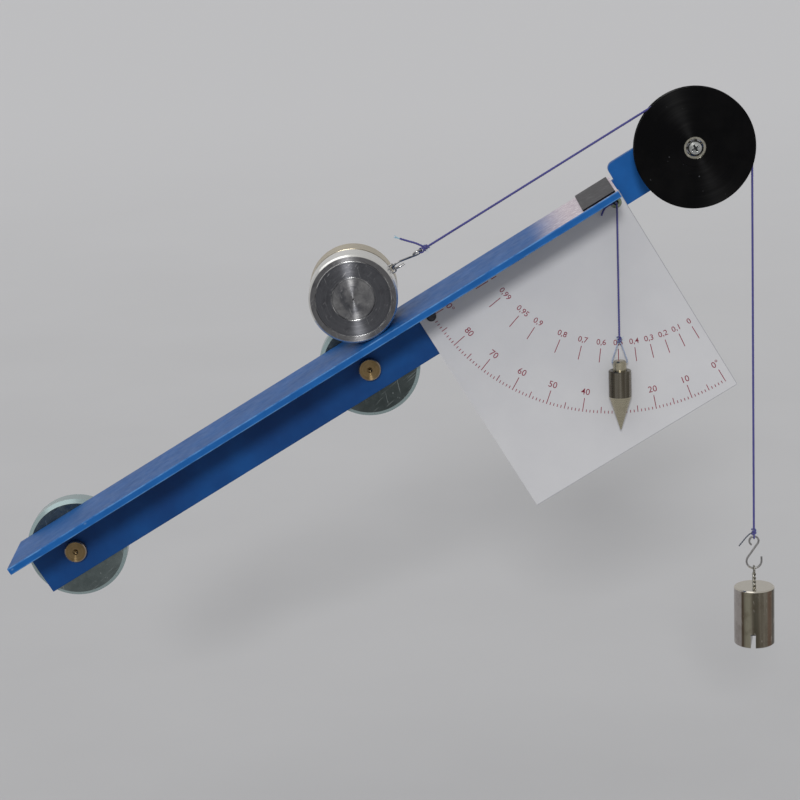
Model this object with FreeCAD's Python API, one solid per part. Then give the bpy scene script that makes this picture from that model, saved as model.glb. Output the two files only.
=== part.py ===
# Inclined plane with pulley for a magnetic board: rail, roller, thread, hanging mass and protractor.
# World frame: Y points into the board, Z up, origin at the back face centre of the lower magnet.
# The rail frame has X along the rail, Z square to its track, and shares Y and the origin.
import math
import os

import FreeCAD
import Part

V = FreeCAD.Vector
Y_AXIS = V(0, 1, 0)

# Flats round a wire or thread
wire_sides = 6

# Rail
rail_tilt = 30.0
rail_length = 392.0
track_width = 53.0
web_height = 34.2
rail_thickness = 4.0
rail_edge_radius = 0.5
rail_root_radius = 1.2

# End plate on the track's upper end
end_plate_length = 20.0
end_plate_depth = 51.0
end_plate_thickness = 1.0
end_plate_inset = 1.4
end_plate_back_inset = 1.2
end_plate_corner = 0.8

# Pot magnets behind the web
lower_magnet_inset = 25.0
upper_magnet_from_rail_end = 169.0
magnet_drop = 20.4
magnet_diameter = 57.0
magnet_height = 12.0
magnet_rim_chamfer = 2.2
magnet_wall = 2.0
magnet_face_thickness = 3.0
magnet_boss_diameter = 13.0
magnet_core_clearance = 0.3
magnet_core_recess = 0.1

# Brass clamp screws through the web into the magnets
clamp_head_diameter = 12.4
clamp_head_height = 4.0
clamp_head_chamfer = 0.5
clamp_shank_diameter = 6.0
clamp_thread_depth = 8.0
clamp_centre_hole = 3.2
clamp_centre_depth = 2.5
screw_clearance = 0.2
thread_clearance = 0.05

# Protractor card and its fastenings
card_width = 132.0
card_height = 131.0
card_thickness = 1.0
card_corner = 1.2
pivot_from_rail_end = 4.0
pivot_below_track = 13.4
pivot_from_card_edge = 4.8
pivot_from_card_top = 6.0
card_hole_from_card_edge = 7.2
card_screw_head = 5.6
card_screw_head_height = 1.6
card_screw_shank = 3.0
card_screw_depth = 3.6
eyelet_flange = 6.6
eyelet_flange_height = 0.7
eyelet_barrel = 4.0
eyelet_bore = 2.4
eyelet_depth = 3.2

# Plumb line and bob
plumb_thread = 1.2
plumb_standoff = 0.4
plumb_length = 75.0
plumb_bend_radius = 2.4
plumb_tail_gap = 0.3
bob_loop_height = 13.0
bob_loop_thread = 0.8
bob_loop_corner = 4.3
bob_loop_bend = 0.9
bob_hole_depth = 1.5
bob_neck_diameter = 7.4
bob_neck_chamfer = 0.8
bob_neck_height = 5.5
bob_diameter = 12.6
bob_body_height = 15.0
bob_cone_height = 19.2
bob_tip_radius = 0.25
bob_chamfer = 0.4

# Pulley bracket behind the web
bracket_height = 25.0
bracket_thickness = 4.0
bracket_gap = 1.5
bracket_corner = 4.0
tongue_length = 46.0
tongue_height = 16.0
bracket_screw_diameter = 4.0
bracket_screw_head = 7.6
bracket_screw_inset = 12.0
bracket_screw_spacing = 22.0
nut_across_flats = 7.0
nut_height = 3.2
nut_thread_stub = 0.6

# Pulley, bearing and axle
pulley_from_rail_end = 47.3
pulley_diameter = 66.0
pulley_thickness = 6.0
pulley_groove_depth = 2.9
pulley_groove_bottom = 2.3
pulley_groove_mouth = 3.8
pulley_edge_bevel = 0.4
pulley_rim_width = 6.0
pulley_hub_diameter = 20.0
pulley_hub_rise = 0.15
pulley_back_recess = 1.2
bearing_outer_diameter = 12.0
bearing_inner_diameter = 4.0
bearing_width = 4.0
bearing_ring_wall = 1.2
bearing_ball_count = 7
bearing_clearance = 0.02
axle_shank_diameter = 4.0
axle_head_diameter = 8.0
axle_head_height = 2.6
axle_washer_diameter = 6.2
axle_washer_thickness = 0.5
spacer_diameter = 9.0
spacer_nose_length = 2.0
cross_recess_length = 4.4
cross_recess_width = 1.1
cross_recess_depth = 1.3

# Roller on the track
roller_diameter = 48.4
roller_length = 38.0
roller_clearance = 0.3
roller_from_rail_end = 151.0
roller_chamfer = 0.9
roller_groove_width = 2.6
roller_groove_depth = 1.9
roller_ring_outer = 20.6
roller_ring_inner = 11.7
roller_ring_width = 0.5
roller_ring_depth = 0.3
roller_centre_mark = 1.6

# Wire ring in the roller's groove, with a lug for the hook
ring_wire = 1.0
ring_groove_clearance = 0.4
lug_reach = 2.2
lug_half_width = 2.2
lug_bend_radius = 0.8
ring_lead_angle = 12.0
ring_split_angle = 0.8

# Steel S-hooks, one at each end of the thread
hook_wire = 1.1
hook_small_radius = 2.6
hook_large_radius = 4.2
hook_centre_distance = 11.8
hook_small_end_angle = 240.0
hook_tail_length = 2.4
roller_hook_twist = 64.0
hook_clearance = 0.15

# Thread over the pulley
thread_diameter = 1.4
thread_from_web = 26.5
thread_clearance_groove = 0.3
thread_drop_length = 216.5
knot_radius = 1.6
knot_flat = 1.2
knot_overlap = 0.2
knot_tail_bend = 4.2
eye_loop_radius = 1.25
eye_loop_thread = 1.0

# Hanging mass
mass_diameter = 22.7
mass_height = 33.5
mass_edge_bevel = 0.6
mass_slot_width = 2.8
mass_slot_depth = 8.2
mass_slot_turn = 12.0
mass_pin_diameter = 1.5
mass_pin_height = 4.6
mass_pin_share = 0.62
mass_eye_radius = 1.9
mass_eye_wire = 0.9
mass_stem_diameter = 2.2
mass_stem_length = 8.0
mass_stem_seat = 4.0

# Places in the rail frame
track_z = magnet_drop
rail_x0 = -lower_magnet_inset
rail_x1 = rail_x0 + rail_length
magnet_spacing = rail_x1 - upper_magnet_from_rail_end
roller_rest = rail_x1 - roller_from_rail_end
web_back_y = -magnet_height
web_front_y = web_back_y - rail_thickness
track_front_y = web_back_y - track_width
card_front_y = web_front_y - card_thickness
pivot_x = rail_x1 - pivot_from_rail_end
pivot_z = track_z - pivot_below_track
thread_y = web_back_y - thread_from_web
roller_radius = roller_diameter / 2
roller_z = track_z + roller_clearance + roller_radius
pulley_radius = pulley_diameter / 2
wrap_radius = pulley_radius - pulley_groove_depth + thread_clearance_groove + thread_diameter / 2
pulley_x = rail_x1 + pulley_from_rail_end
pulley_z = roller_z - wrap_radius
bearing_front_y = thread_y - bearing_width / 2
bearing_back_y = thread_y + bearing_width / 2
bracket_back_y = web_back_y + bracket_thickness
bracket_bottom_z = pulley_z - bracket_height / 2
bracket_screw_z = bracket_bottom_z + tongue_height / 2
bracket_screw_xs = [rail_x1 - bracket_screw_inset - i * bracket_screw_spacing for i in range(2)]
card_x1 = pivot_x + pivot_from_card_edge
card_x0 = card_x1 - card_width
card_hole_x = card_x0 + card_hole_from_card_edge
ring_radius = roller_radius - roller_groove_depth + ring_groove_clearance + ring_wire / 2
lug_x = roller_radius + lug_reach
hook_big_x = lug_x - ring_wire / 2 - hook_clearance - hook_wire / 2 + hook_large_radius
run_start_x = hook_big_x + hook_centre_distance + hook_small_radius


def to_world(shape):
    """Turn a shape from the rail frame to the world frame."""
    turned = shape.copy()
    turned.rotate(V(0, 0, 0), Y_AXIS, -rail_tilt)
    return turned


def world_point(x, y, z):
    """A rail frame point in the world frame."""
    angle = math.radians(rail_tilt)
    return V(x * math.cos(angle) - z * math.sin(angle), y, x * math.sin(angle) + z * math.cos(angle))


PULLEY = world_point(pulley_x, thread_y, pulley_z)
PIVOT = world_point(pivot_x, card_front_y, pivot_z)
drop_x = PULLEY.x + wrap_radius
knot_offset = eye_loop_radius + knot_radius - knot_overlap
knot_top_z = PULLEY.z - thread_drop_length
hook_top_z = knot_top_z - knot_flat - knot_offset


def disc(x, y0, y1, z, diameter):
    """Cylinder along Y from y0 to y1."""
    return Part.makeCylinder(diameter / 2, abs(y1 - y0), V(x, min(y0, y1), z), Y_AXIS)


def tube(x, y0, y1, z, outer, inner):
    """Hollow cylinder along Y from y0 to y1."""
    return disc(x, y0, y1, z, outer).cut(disc(x, y0, y1, z, inner))


def turned(points, x, z):
    """Solid of revolution about the Y line through x, z; points are (radius, y)."""
    corners = [V(x + radius, y, z) for radius, y in points]
    wire = Part.makePolygon(corners + corners[:1])
    return Part.Face(wire).revolve(V(x, 0, z), Y_AXIS, 360)


def turned_z(points, x, y):
    """Solid of revolution about the Z line through x, y; points are (radius, z)."""
    corners = [V(x + radius, y, z) for radius, z in points]
    wire = Part.makePolygon(corners + corners[:1])
    return Part.Face(wire).revolve(V(x, y, 0), V(0, 0, 1), 360)


def rounded_plate(x0, x1, z0, z1, y0, y1, radius):
    """Plate in the XZ plane with rounded corners."""
    plate = Part.makeBox(x1 - x0, y1 - y0, z1 - z0, V(x0, y0, z0))
    corners = [e for e in plate.Edges if abs(e.tangentAt(e.FirstParameter).y) > 0.99]
    return plate.makeFillet(radius, corners)


def arc(centre, radius, a0, a1, across, up):
    """Arc edge in the plane of two unit vectors, from angle a0 to a1 in degrees."""
    def at(angle):
        turn = math.radians(angle)
        return centre + across * (radius * math.cos(turn)) + up * (radius * math.sin(turn))
    return Part.Arc(at(a0), at((a0 + a1) / 2), at(a1)).toShape()


def line(a, b):
    return Part.LineSegment(a, b).toShape()


def bent_path(points, radius, label):
    """Straight runs joined by tangent arcs of one radius; the radius is printed."""
    edges = []
    start = points[0]
    for before, corner, after in zip(points, points[1:], points[2:]):
        back = (before - corner).normalize()
        ahead = (after - corner).normalize()
        half = back.getAngle(ahead) / 2
        reach = radius / math.tan(half)
        inner = corner + (back + ahead).normalize() * (radius / math.sin(half) - radius)
        edges.append(line(start, corner + back * reach))
        edges.append(Part.Arc(corner + back * reach, inner, corner + ahead * reach).toShape())
        start = corner + ahead * reach
    edges.append(line(start, points[-1]))
    print("%s arcs have radius %.2f mm" % (label, radius))
    return Part.Wire(edges)


def section(start, heading, diameter):
    """Many-sided outline of a wire or thread, square to its heading, with a round section's area."""
    side = heading.cross(Y_AXIS) if abs(heading.y) < 0.9 else heading.cross(V(0, 0, 1))
    side.normalize()
    up = heading.cross(side).normalize()
    turn = 2 * math.pi / wire_sides
    reach = diameter / 2 * math.sqrt(turn / math.sin(turn))
    corners = [start + side * (reach * math.cos(turn * (i + 0.5))) + up * (reach * math.sin(turn * (i + 0.5)))
               for i in range(wire_sides)]
    return Part.makePolygon(corners + corners[:1])


def sweep(path, diameter, label):
    """Wire or thread along a path, with its volume compared to section times length."""
    edge = path.OrderedEdges[0]
    start = edge.valueAt(edge.FirstParameter)
    heading = edge.tangentAt(edge.FirstParameter)
    if edge.Orientation == "Reversed":
        start = edge.valueAt(edge.LastParameter)
        heading = edge.tangentAt(edge.LastParameter) * -1
    solid = path.makePipeShell([section(start, heading, diameter)], True, False)
    expected = math.pi * diameter ** 2 / 4 * path.Length
    print("%s length %.1f mm, volume ratio %.4f" % (label, path.Length, abs(solid.Volume) / expected))
    return solid


def straight(a, b, diameter):
    """Wire or thread along a straight stretch."""
    heading = (b - a).normalize()
    return Part.Face(section(a, heading, diameter)).extrude(b - a)


def closed_loop(centre, radius, through, wire):
    """Closed ring of wire or thread about a centre, square to the through direction."""
    side = through.cross(Y_AXIS) if abs(through.y) < 0.9 else through.cross(V(0, 0, 1))
    side.normalize()
    across = section(centre + side * radius, through.cross(side), wire)
    return Part.Face(across).revolve(centre, through, 360)


def ball(centre, radius):
    """Small ball with flat facets: a cube trimmed by three more, each turned half a right angle."""
    reach = radius * math.cos(math.pi / 8)
    side = 2 * reach
    corner = centre - V(reach, reach, reach)
    solid = Part.makeBox(side, side, side, corner)
    for axis in (V(1, 0, 0), Y_AXIS, V(0, 0, 1)):
        other = Part.makeBox(side, side, side, corner)
        other.rotate(centre, axis, 45)
        solid = solid.common(other)
    return solid


def hexagon(x, y0, y1, z, across_flats):
    """Hexagonal prism along Y."""
    radius = across_flats / math.sqrt(3)
    corners = [V(x + radius * math.cos(math.radians(60 * i)), y0, z + radius * math.sin(math.radians(60 * i)))
               for i in range(7)]
    return Part.Face(Part.makePolygon(corners)).extrude(V(0, y1 - y0, 0))


def rail():
    """Bent angle section: track flange in front, web hanging at its back edge, with its screw holes."""
    corners = [(web_back_y, track_z), (track_front_y, track_z), (track_front_y, track_z - rail_thickness),
               (web_front_y, track_z - rail_thickness), (web_front_y, track_z - web_height),
               (web_back_y, track_z - web_height)]
    points = [V(rail_x0, y, z) for y, z in corners]
    body = Part.Face(Part.makePolygon(points + points[:1])).extrude(V(rail_length, 0, 0))
    long_edges = [e for e in body.Edges if abs(e.tangentAt(e.FirstParameter).x) > 0.99]
    root = [e for e in long_edges if abs(e.Vertexes[0].Y - web_front_y) < 0.01
            and abs(e.Vertexes[0].Z - track_z + rail_thickness) < 0.01]
    body = body.makeFillet(rail_root_radius, root)
    long_edges = [e for e in body.Edges if e.Length > rail_length - 0.01 and
                  any(abs(e.Vertexes[0].Y - y) < 0.01 and abs(e.Vertexes[0].Z - z) < 0.01
                      for y, z in corners[:3] + corners[4:])]
    body = body.makeFillet(rail_edge_radius, long_edges)
    for x in (0.0, magnet_spacing):
        body = body.cut(disc(x, web_back_y, web_front_y, 0, clamp_shank_diameter + 2 * screw_clearance))
    body = body.cut(disc(card_hole_x, web_back_y, web_front_y, pivot_z, card_screw_shank))
    body = body.cut(disc(pivot_x, web_back_y, web_front_y, pivot_z, eyelet_barrel + 2 * thread_clearance))
    for x in bracket_screw_xs:
        body = body.cut(countersink(x, 0))
    return body


def countersink(x, allowance):
    """Countersunk screw solid, or the hole for it where allowance is 0."""
    head = bracket_screw_head / 2 - allowance
    shank = bracket_screw_diameter / 2 - allowance
    end = bracket_back_y + nut_height + nut_thread_stub
    taper = web_front_y + head - shank
    outline = [(0, web_front_y), (head, web_front_y), (shank, taper), (shank, end), (0, end)]
    return turned(outline, x, bracket_screw_z)


def end_plate():
    x1 = rail_x1 - end_plate_inset
    y1 = web_back_y - end_plate_back_inset
    plate = Part.makeBox(end_plate_length, end_plate_depth, end_plate_thickness,
                         V(x1 - end_plate_length, y1 - end_plate_depth, track_z))
    corners = [e for e in plate.Edges if abs(e.tangentAt(e.FirstParameter).z) > 0.99]
    return plate.makeFillet(end_plate_corner, corners)


def magnet_cup(x):
    """Pressed steel pot, open towards the board, with a threaded boss."""
    outer = magnet_diameter / 2
    inner = outer - magnet_wall
    face = web_back_y + magnet_face_thickness
    boss = magnet_boss_diameter / 2
    bore = clamp_shank_diameter / 2
    bore_end = web_back_y + clamp_thread_depth
    outline = [(bore, web_back_y), (outer - magnet_rim_chamfer, web_back_y),
               (outer, web_back_y + magnet_rim_chamfer), (outer, 0), (inner, 0), (inner, face),
               (boss, face), (boss, 0), (0, 0), (0, bore_end), (bore, bore_end)]
    return turned(outline, x, 0)


def magnet_core(x):
    """Ferrite ring that fills the pot around its boss."""
    outer = magnet_diameter - 2 * magnet_wall - 2 * magnet_core_clearance
    inner = magnet_boss_diameter + 2 * magnet_core_clearance
    return tube(x, web_back_y + magnet_face_thickness, -magnet_core_recess, 0, outer, inner)


def clamp_screws():
    """The two brass screws, flat headed, with a drilled centre."""
    head = clamp_head_diameter / 2
    shank = clamp_shank_diameter / 2 - thread_clearance
    hole = clamp_centre_hole / 2
    front = web_front_y - clamp_head_height
    end = web_back_y + clamp_thread_depth - screw_clearance
    outline = [(0, front + clamp_centre_depth), (hole, front + clamp_centre_depth - hole / 2), (hole, front),
               (head - clamp_head_chamfer, front), (head, front + clamp_head_chamfer),
               (head, web_front_y), (shank, web_front_y), (shank, end), (0, end)]
    return Part.makeCompound([turned(outline, x, 0) for x in (0.0, magnet_spacing)])


def protractor_card():
    z1 = pivot_z + pivot_from_card_top
    card = rounded_plate(card_x0, card_x1, z1 - card_height, z1, card_front_y, web_front_y, card_corner)
    screw_hole = card_screw_shank + 2 * screw_clearance
    eyelet_hole = eyelet_barrel + 2 * thread_clearance
    return card.cut([disc(card_hole_x, card_front_y, web_front_y, pivot_z, screw_hole),
                     disc(pivot_x, card_front_y, web_front_y, pivot_z, eyelet_hole)])


def card_screw():
    head = card_screw_head / 2
    shank = card_screw_shank / 2 - thread_clearance
    front = card_front_y - card_screw_head_height
    end = web_front_y + card_screw_depth
    outline = [(0, front), (head * 0.6, front), (head, card_front_y - card_screw_head_height / 2),
               (head, card_front_y), (shank, card_front_y), (shank, end), (0, end)]
    return turned(outline, card_hole_x, pivot_z)


def plumb_eyelet():
    """Flanged brass eyelet through card and web."""
    bore = eyelet_bore / 2
    flange = eyelet_flange / 2
    barrel = eyelet_barrel / 2
    front = card_front_y - eyelet_flange_height
    outline = [(bore, front + eyelet_flange_height / 2), (bore + 0.4, front), (flange - 0.3, front),
               (flange, front + 0.3), (flange, card_front_y), (barrel, card_front_y),
               (barrel, card_front_y + eyelet_depth), (bore, card_front_y + eyelet_depth)]
    return turned(outline, pivot_x, pivot_z)


def pulley_bracket():
    """Flat arm behind the web: a narrow tongue, a stepped head and a round end at the axle."""
    head_x0 = rail_x1 + bracket_gap
    head = Part.makeBox(pulley_x - head_x0, bracket_thickness, bracket_height,
                        V(head_x0, web_back_y, bracket_bottom_z))
    corner = [e for e in head.Edges if abs(e.tangentAt(e.FirstParameter).y) > 0.99
              and e.Vertexes[0].X < head_x0 + 0.01 and e.Vertexes[0].Z > pulley_z]
    head = head.makeFillet(bracket_corner, corner)
    head = head.fuse(disc(pulley_x, web_back_y, bracket_back_y, pulley_z, bracket_height))
    tongue = Part.makeBox(tongue_length + bracket_gap + 2 * bracket_corner, bracket_thickness, tongue_height,
                          V(rail_x1 - tongue_length, web_back_y, bracket_bottom_z))
    ends = [e for e in tongue.Edges if abs(e.tangentAt(e.FirstParameter).y) > 0.99
            and e.Vertexes[0].X < rail_x1 - tongue_length + 0.01]
    arm = head.fuse(tongue.makeFillet(bracket_corner / 2, ends)).removeSplitter()
    for x in bracket_screw_xs:
        arm = arm.cut(disc(x, web_back_y, bracket_back_y, bracket_screw_z, bracket_screw_diameter))
    return arm.cut(disc(pulley_x, web_back_y, bracket_back_y, pulley_z, axle_shank_diameter))


def bracket_screws():
    return Part.makeCompound([countersink(x, thread_clearance) for x in bracket_screw_xs])


def fixing_nut(x, z, bore):
    nut = hexagon(x, bracket_back_y, bracket_back_y + nut_height, z, nut_across_flats)
    return nut.cut(disc(x, bracket_back_y, bracket_back_y + nut_height, z, bore))


def bracket_nuts():
    nuts = [fixing_nut(x, bracket_screw_z, bracket_screw_diameter) for x in bracket_screw_xs]
    return Part.makeCompound(nuts)


def pulley_wheel():
    """Disc with a shallow V groove, a low hub in front and a raised rim and hub behind."""
    rim = pulley_radius
    hub = pulley_hub_diameter / 2
    bore = bearing_outer_diameter / 2
    bevel = pulley_edge_bevel
    front = thread_y - pulley_thickness / 2
    face = front + pulley_hub_rise
    back = thread_y + pulley_thickness / 2
    bottom = rim - pulley_groove_depth
    inner_rim = rim - pulley_rim_width
    outline = [(bore, front), (hub, front), (hub + pulley_hub_rise, face), (rim - bevel, face),
               (rim, face + bevel), (rim, thread_y - pulley_groove_mouth / 2),
               (bottom, thread_y - pulley_groove_bottom / 2), (bottom, thread_y + pulley_groove_bottom / 2),
               (rim, thread_y + pulley_groove_mouth / 2), (rim, back - bevel), (rim - bevel, back),
               (inner_rim, back), (inner_rim - bevel, back - pulley_back_recess),
               (hub + bevel, back - pulley_back_recess), (hub, back), (bore, back)]
    return turned(outline, pulley_x, pulley_z)


def bearing_outer_ring():
    outer = bearing_outer_diameter
    return tube(pulley_x, bearing_front_y, bearing_back_y, pulley_z, outer, outer - 2 * bearing_ring_wall)


def bearing_inner_ring():
    inner = bearing_inner_diameter
    return tube(pulley_x, bearing_front_y, bearing_back_y, pulley_z, inner + 2 * bearing_ring_wall, inner)


def bearing_balls():
    outer_race = bearing_outer_diameter / 2 - bearing_ring_wall
    inner_race = bearing_inner_diameter / 2 + bearing_ring_wall
    size = (outer_race - inner_race) / 2 - bearing_clearance
    path = (outer_race + inner_race) / 2
    balls = []
    for i in range(bearing_ball_count):
        turn = 2 * math.pi * i / bearing_ball_count
        centre = V(pulley_x + path * math.cos(turn), thread_y, pulley_z + path * math.sin(turn))
        balls.append(ball(centre, size))
    return Part.makeCompound(balls)


def axle_washer():
    return tube(pulley_x, bearing_front_y - axle_washer_thickness, bearing_front_y, pulley_z,
                axle_washer_diameter, axle_shank_diameter)


def axle_spacer():
    """Stepped spacer from the bracket to the bearing's inner ring."""
    nose = axle_washer_diameter / 2
    body = spacer_diameter / 2
    bore = axle_shank_diameter / 2
    step = bearing_back_y + spacer_nose_length
    outline = [(bore, bearing_back_y), (nose, bearing_back_y), (nose, step), (body, step + body - nose),
               (body, web_back_y), (bore, web_back_y)]
    return turned(outline, pulley_x, pulley_z)


def axle_screw():
    """Pan head screw with a cross recess, right through spacer, bracket and nut."""
    shank = axle_shank_diameter / 2 - thread_clearance
    head = axle_head_diameter / 2
    seat = bearing_front_y - axle_washer_thickness
    front = seat - axle_head_height
    end = bracket_back_y + nut_height + nut_thread_stub
    crown = [(head * across, front + axle_head_height * down)
             for across, down in ((0, 0), (0.55, 0.1), (0.85, 0.35), (1, 0.7), (1, 1))]
    screw = turned(crown + [(shank, seat), (shank, end), (0, end)], pulley_x, pulley_z)
    for turn in (0, 90):
        slot = Part.makeBox(cross_recess_length, cross_recess_depth, cross_recess_width,
                            V(pulley_x - cross_recess_length / 2, front, pulley_z - cross_recess_width / 2))
        slot.rotate(V(pulley_x, 0, pulley_z), Y_AXIS, turn)
        screw = screw.cut(slot)
    return screw


def axle_nut():
    return fixing_nut(pulley_x, pulley_z, axle_shank_diameter)


def roller_body():
    """Turned aluminium cylinder with bevelled faces, turned rings and the middle groove."""
    radius = roller_radius
    front = thread_y - roller_length / 2
    back = thread_y + roller_length / 2
    floor = radius - roller_groove_depth
    half = roller_groove_width / 2
    mark = roller_centre_mark / 2
    side = roller_ring_width / 2
    face = [(0, mark), (mark, 0)]
    for ring in (roller_ring_inner, roller_ring_outer):
        face += [(ring - side, 0), (ring, roller_ring_depth), (ring + side, 0)]
    face += [(radius - roller_chamfer, 0), (radius, roller_chamfer)]
    outline = [(r, front + depth) for r, depth in face]
    outline += [(radius, thread_y - half), (floor, thread_y - half), (floor, thread_y + half),
                (radius, thread_y + half)]
    outline += [(r, back - depth) for r, depth in reversed(face)]
    return turned(outline, roller_rest, roller_z)


def roller_wire_ring():
    """Split wire ring in the roller's groove, bent out to a lug on the pulley's side."""
    centre = V(roller_rest, thread_y, roller_z)
    across = V(1, 0, 0)
    up = V(0, 0, 1)
    lead = ring_lead_angle
    split = ring_split_angle
    upper = arc(centre, ring_radius, 180 - split, lead, across, up)
    lower = arc(centre, ring_radius, 360 - lead, 180 + split, across, up)
    top = upper.valueAt(upper.LastParameter)
    foot = lower.valueAt(lower.FirstParameter)
    heading = V(math.sin(math.radians(lead)), 0, -math.cos(math.radians(lead)))
    step = (top.z - roller_z - lug_half_width) / math.cos(math.radians(lead))
    neck = top + heading * step
    reach = roller_rest + lug_x
    corners = [top, neck]
    corners += [V(reach, thread_y, roller_z + side * lug_half_width) for side in (1, -1)]
    corners += [V(neck.x, thread_y, 2 * roller_z - neck.z), foot]
    lug = bent_path(corners, lug_bend_radius, "ring lug")
    return sweep(Part.Wire([upper] + lug.OrderedEdges + [lower]), ring_wire, "roller wire ring")


def s_hook(small_centre, down, side, label):
    """S-hook of round wire; down points from the small loop to the large one, side is square to it."""
    up = down * -1
    large_centre = small_centre + down * hook_centre_distance
    lean = math.degrees(math.asin((hook_small_radius + hook_large_radius) / hook_centre_distance))
    small = arc(small_centre, hook_small_radius, hook_small_end_angle, -lean, side, up)
    large = arc(large_centre, hook_large_radius, 180 - lean, 360, side, up)
    a = small.valueAt(small.LastParameter)
    b = large.valueAt(large.FirstParameter)
    end = large.valueAt(large.LastParameter)
    path = Part.Wire([small, line(a, b), large, line(end, end + up * hook_tail_length)])
    return sweep(path, hook_wire, label)


def roller_hook_side():
    """Direction across the roller's hook, twisted out of the board's plane."""
    twist = math.radians(roller_hook_twist)
    return V(0, math.sin(twist), -math.cos(twist))


def roller_hook():
    """Hook from the ring's lug to the thread."""
    small_x = roller_rest + hook_big_x + hook_centre_distance
    return s_hook(V(small_x, thread_y, roller_z), V(-1, 0, 0), roller_hook_side(), "roller hook")


def mass_hook():
    small = V(drop_x, thread_y, hook_top_z - hook_small_radius)
    return s_hook(small, V(0, 0, -1), V(1, 0, 0), "mass hook")


def knot(hook_point, away, through, tail_points, label):
    """Thread loop round a hook's wire, its knot and loose tail; away points along the pulled thread."""
    loop = closed_loop(hook_point, eye_loop_radius, through, eye_loop_thread)
    centre = hook_point + away * knot_offset
    lump = ball(centre, knot_radius)
    trim = Part.makeCylinder(2 * knot_radius, 2 * knot_radius, centre + away * knot_flat, away)
    path = bent_path([centre] + [centre + p for p in tail_points], knot_tail_bend, label + " tail")
    tail = sweep(path, thread_diameter, label + " tail")
    return lump.cut(trim).fuse([loop, tail]).removeSplitter()


def run_knot():
    hook_point = V(roller_rest + run_start_x, thread_y, roller_z)
    tail = [V(-3.0, 0, 5.0), V(-9.4, 0, 12.0)]
    return knot(hook_point, V(1, 0, 0), roller_hook_side(), tail, "run knot")


def drop_knot():
    tail = [V(-5.5, 0, 0.0), V(-8.4, 0, -7.0)]
    return knot(V(drop_x, thread_y, hook_top_z), V(0, 0, 1), V(1, 0, 0), tail, "drop knot")


def thread_run():
    """Straight stretch from the knot to the pulley, level with the roller's axis."""
    x0 = roller_rest + run_start_x + knot_offset + knot_flat
    print("thread run %.1f mm" % (pulley_x - x0))
    return straight(V(x0, thread_y, roller_z), V(pulley_x, thread_y, roller_z), thread_diameter)


def thread_wrap():
    """Stretch round the pulley, from the run's tangent point to the drop's."""
    centre = V(pulley_x, thread_y, pulley_z)
    path = Part.Wire([arc(centre, wrap_radius, 90, -rail_tilt, V(1, 0, 0), V(0, 0, 1))])
    return sweep(path, thread_diameter, "thread wrap")


def thread_drop():
    print("thread drop %.1f mm" % thread_drop_length)
    return straight(V(drop_x, thread_y, knot_top_z), V(drop_x, thread_y, PULLEY.z), thread_diameter)


def mass_top_z():
    large_bottom = hook_top_z - hook_small_radius - hook_centre_distance - hook_large_radius
    eye_top = large_bottom + hook_wire / 2 + 2 * hook_clearance + mass_eye_wire / 2
    return eye_top - 2 * mass_eye_radius - mass_stem_length


def mass_eye():
    """Wire eye square to the hook, on its stem in the top of the mass."""
    top = mass_top_z()
    centre = V(drop_x, thread_y, top + mass_stem_length + mass_eye_radius)
    loop = closed_loop(centre, mass_eye_radius, V(1, 0, 0), mass_eye_wire)
    stem = Part.makeCylinder(mass_stem_diameter / 2, mass_stem_length + mass_stem_seat,
                             V(drop_x, thread_y, top - mass_stem_seat))
    return loop.fuse(stem).removeSplitter()


def mass_body():
    """Cylinder with a stem hole on top and a slot across its foot."""
    top = mass_top_z()
    bottom = top - mass_height
    outer = mass_diameter / 2
    stem = mass_stem_diameter / 2 + thread_clearance
    bevel = mass_edge_bevel
    outline = [(0, bottom), (outer - bevel, bottom), (outer, bottom + bevel), (outer, top - bevel),
               (outer - bevel, top), (stem, top), (stem, top - mass_stem_seat), (0, top - mass_stem_seat)]
    body = turned_z(outline, drop_x, thread_y)
    slot = Part.makeBox(mass_slot_width, 2 * mass_diameter, mass_slot_depth + 1,
                        V(drop_x - mass_slot_width / 2, thread_y - mass_diameter, bottom - 1))
    slot.rotate(V(drop_x, thread_y, 0), V(0, 0, 1), -mass_slot_turn)
    return body.cut([slot, pin_shape(mass_pin_diameter / 2 + thread_clearance)])


def pin_shape(radius):
    """Cross pin through the foot, square to the slot."""
    bottom = mass_top_z() - mass_height
    length = mass_diameter * mass_pin_share
    start = V(drop_x - length / 2, thread_y, bottom + mass_pin_height)
    pin = Part.makeCylinder(radius, length, start, V(1, 0, 0))
    pin.rotate(V(drop_x, thread_y, 0), V(0, 0, 1), -mass_slot_turn)
    return pin


def mass_pin():
    return pin_shape(mass_pin_diameter / 2)


def plumb_y():
    return card_front_y - bob_diameter / 2 - plumb_standoff


def plumb_line():
    """Thread out of the eyelet, over its lip and straight down to its knot."""
    start_y = card_front_y - eyelet_flange_height / 2
    points = [V(PIVOT.x, start_y, PIVOT.z), V(PIVOT.x, plumb_y(), PIVOT.z),
              V(PIVOT.x, plumb_y(), PIVOT.z - plumb_length)]
    return sweep(bent_path(points, plumb_bend_radius, "plumb line"), plumb_thread, "plumb line")


def plumb_tail():
    """Loose end at the eyelet, curling down to the left."""
    y = card_front_y - eyelet_flange_height - plumb_tail_gap - plumb_thread / 2
    places = ((-plumb_thread - plumb_tail_gap, -0.6), (-5.4, -1.2), (-8.2, -7.0))
    points = [V(PIVOT.x + x, y, PIVOT.z + z) for x, z in places]
    return sweep(bent_path(points, plumb_bend_radius, "plumb tail"), plumb_thread, "plumb tail")


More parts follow.
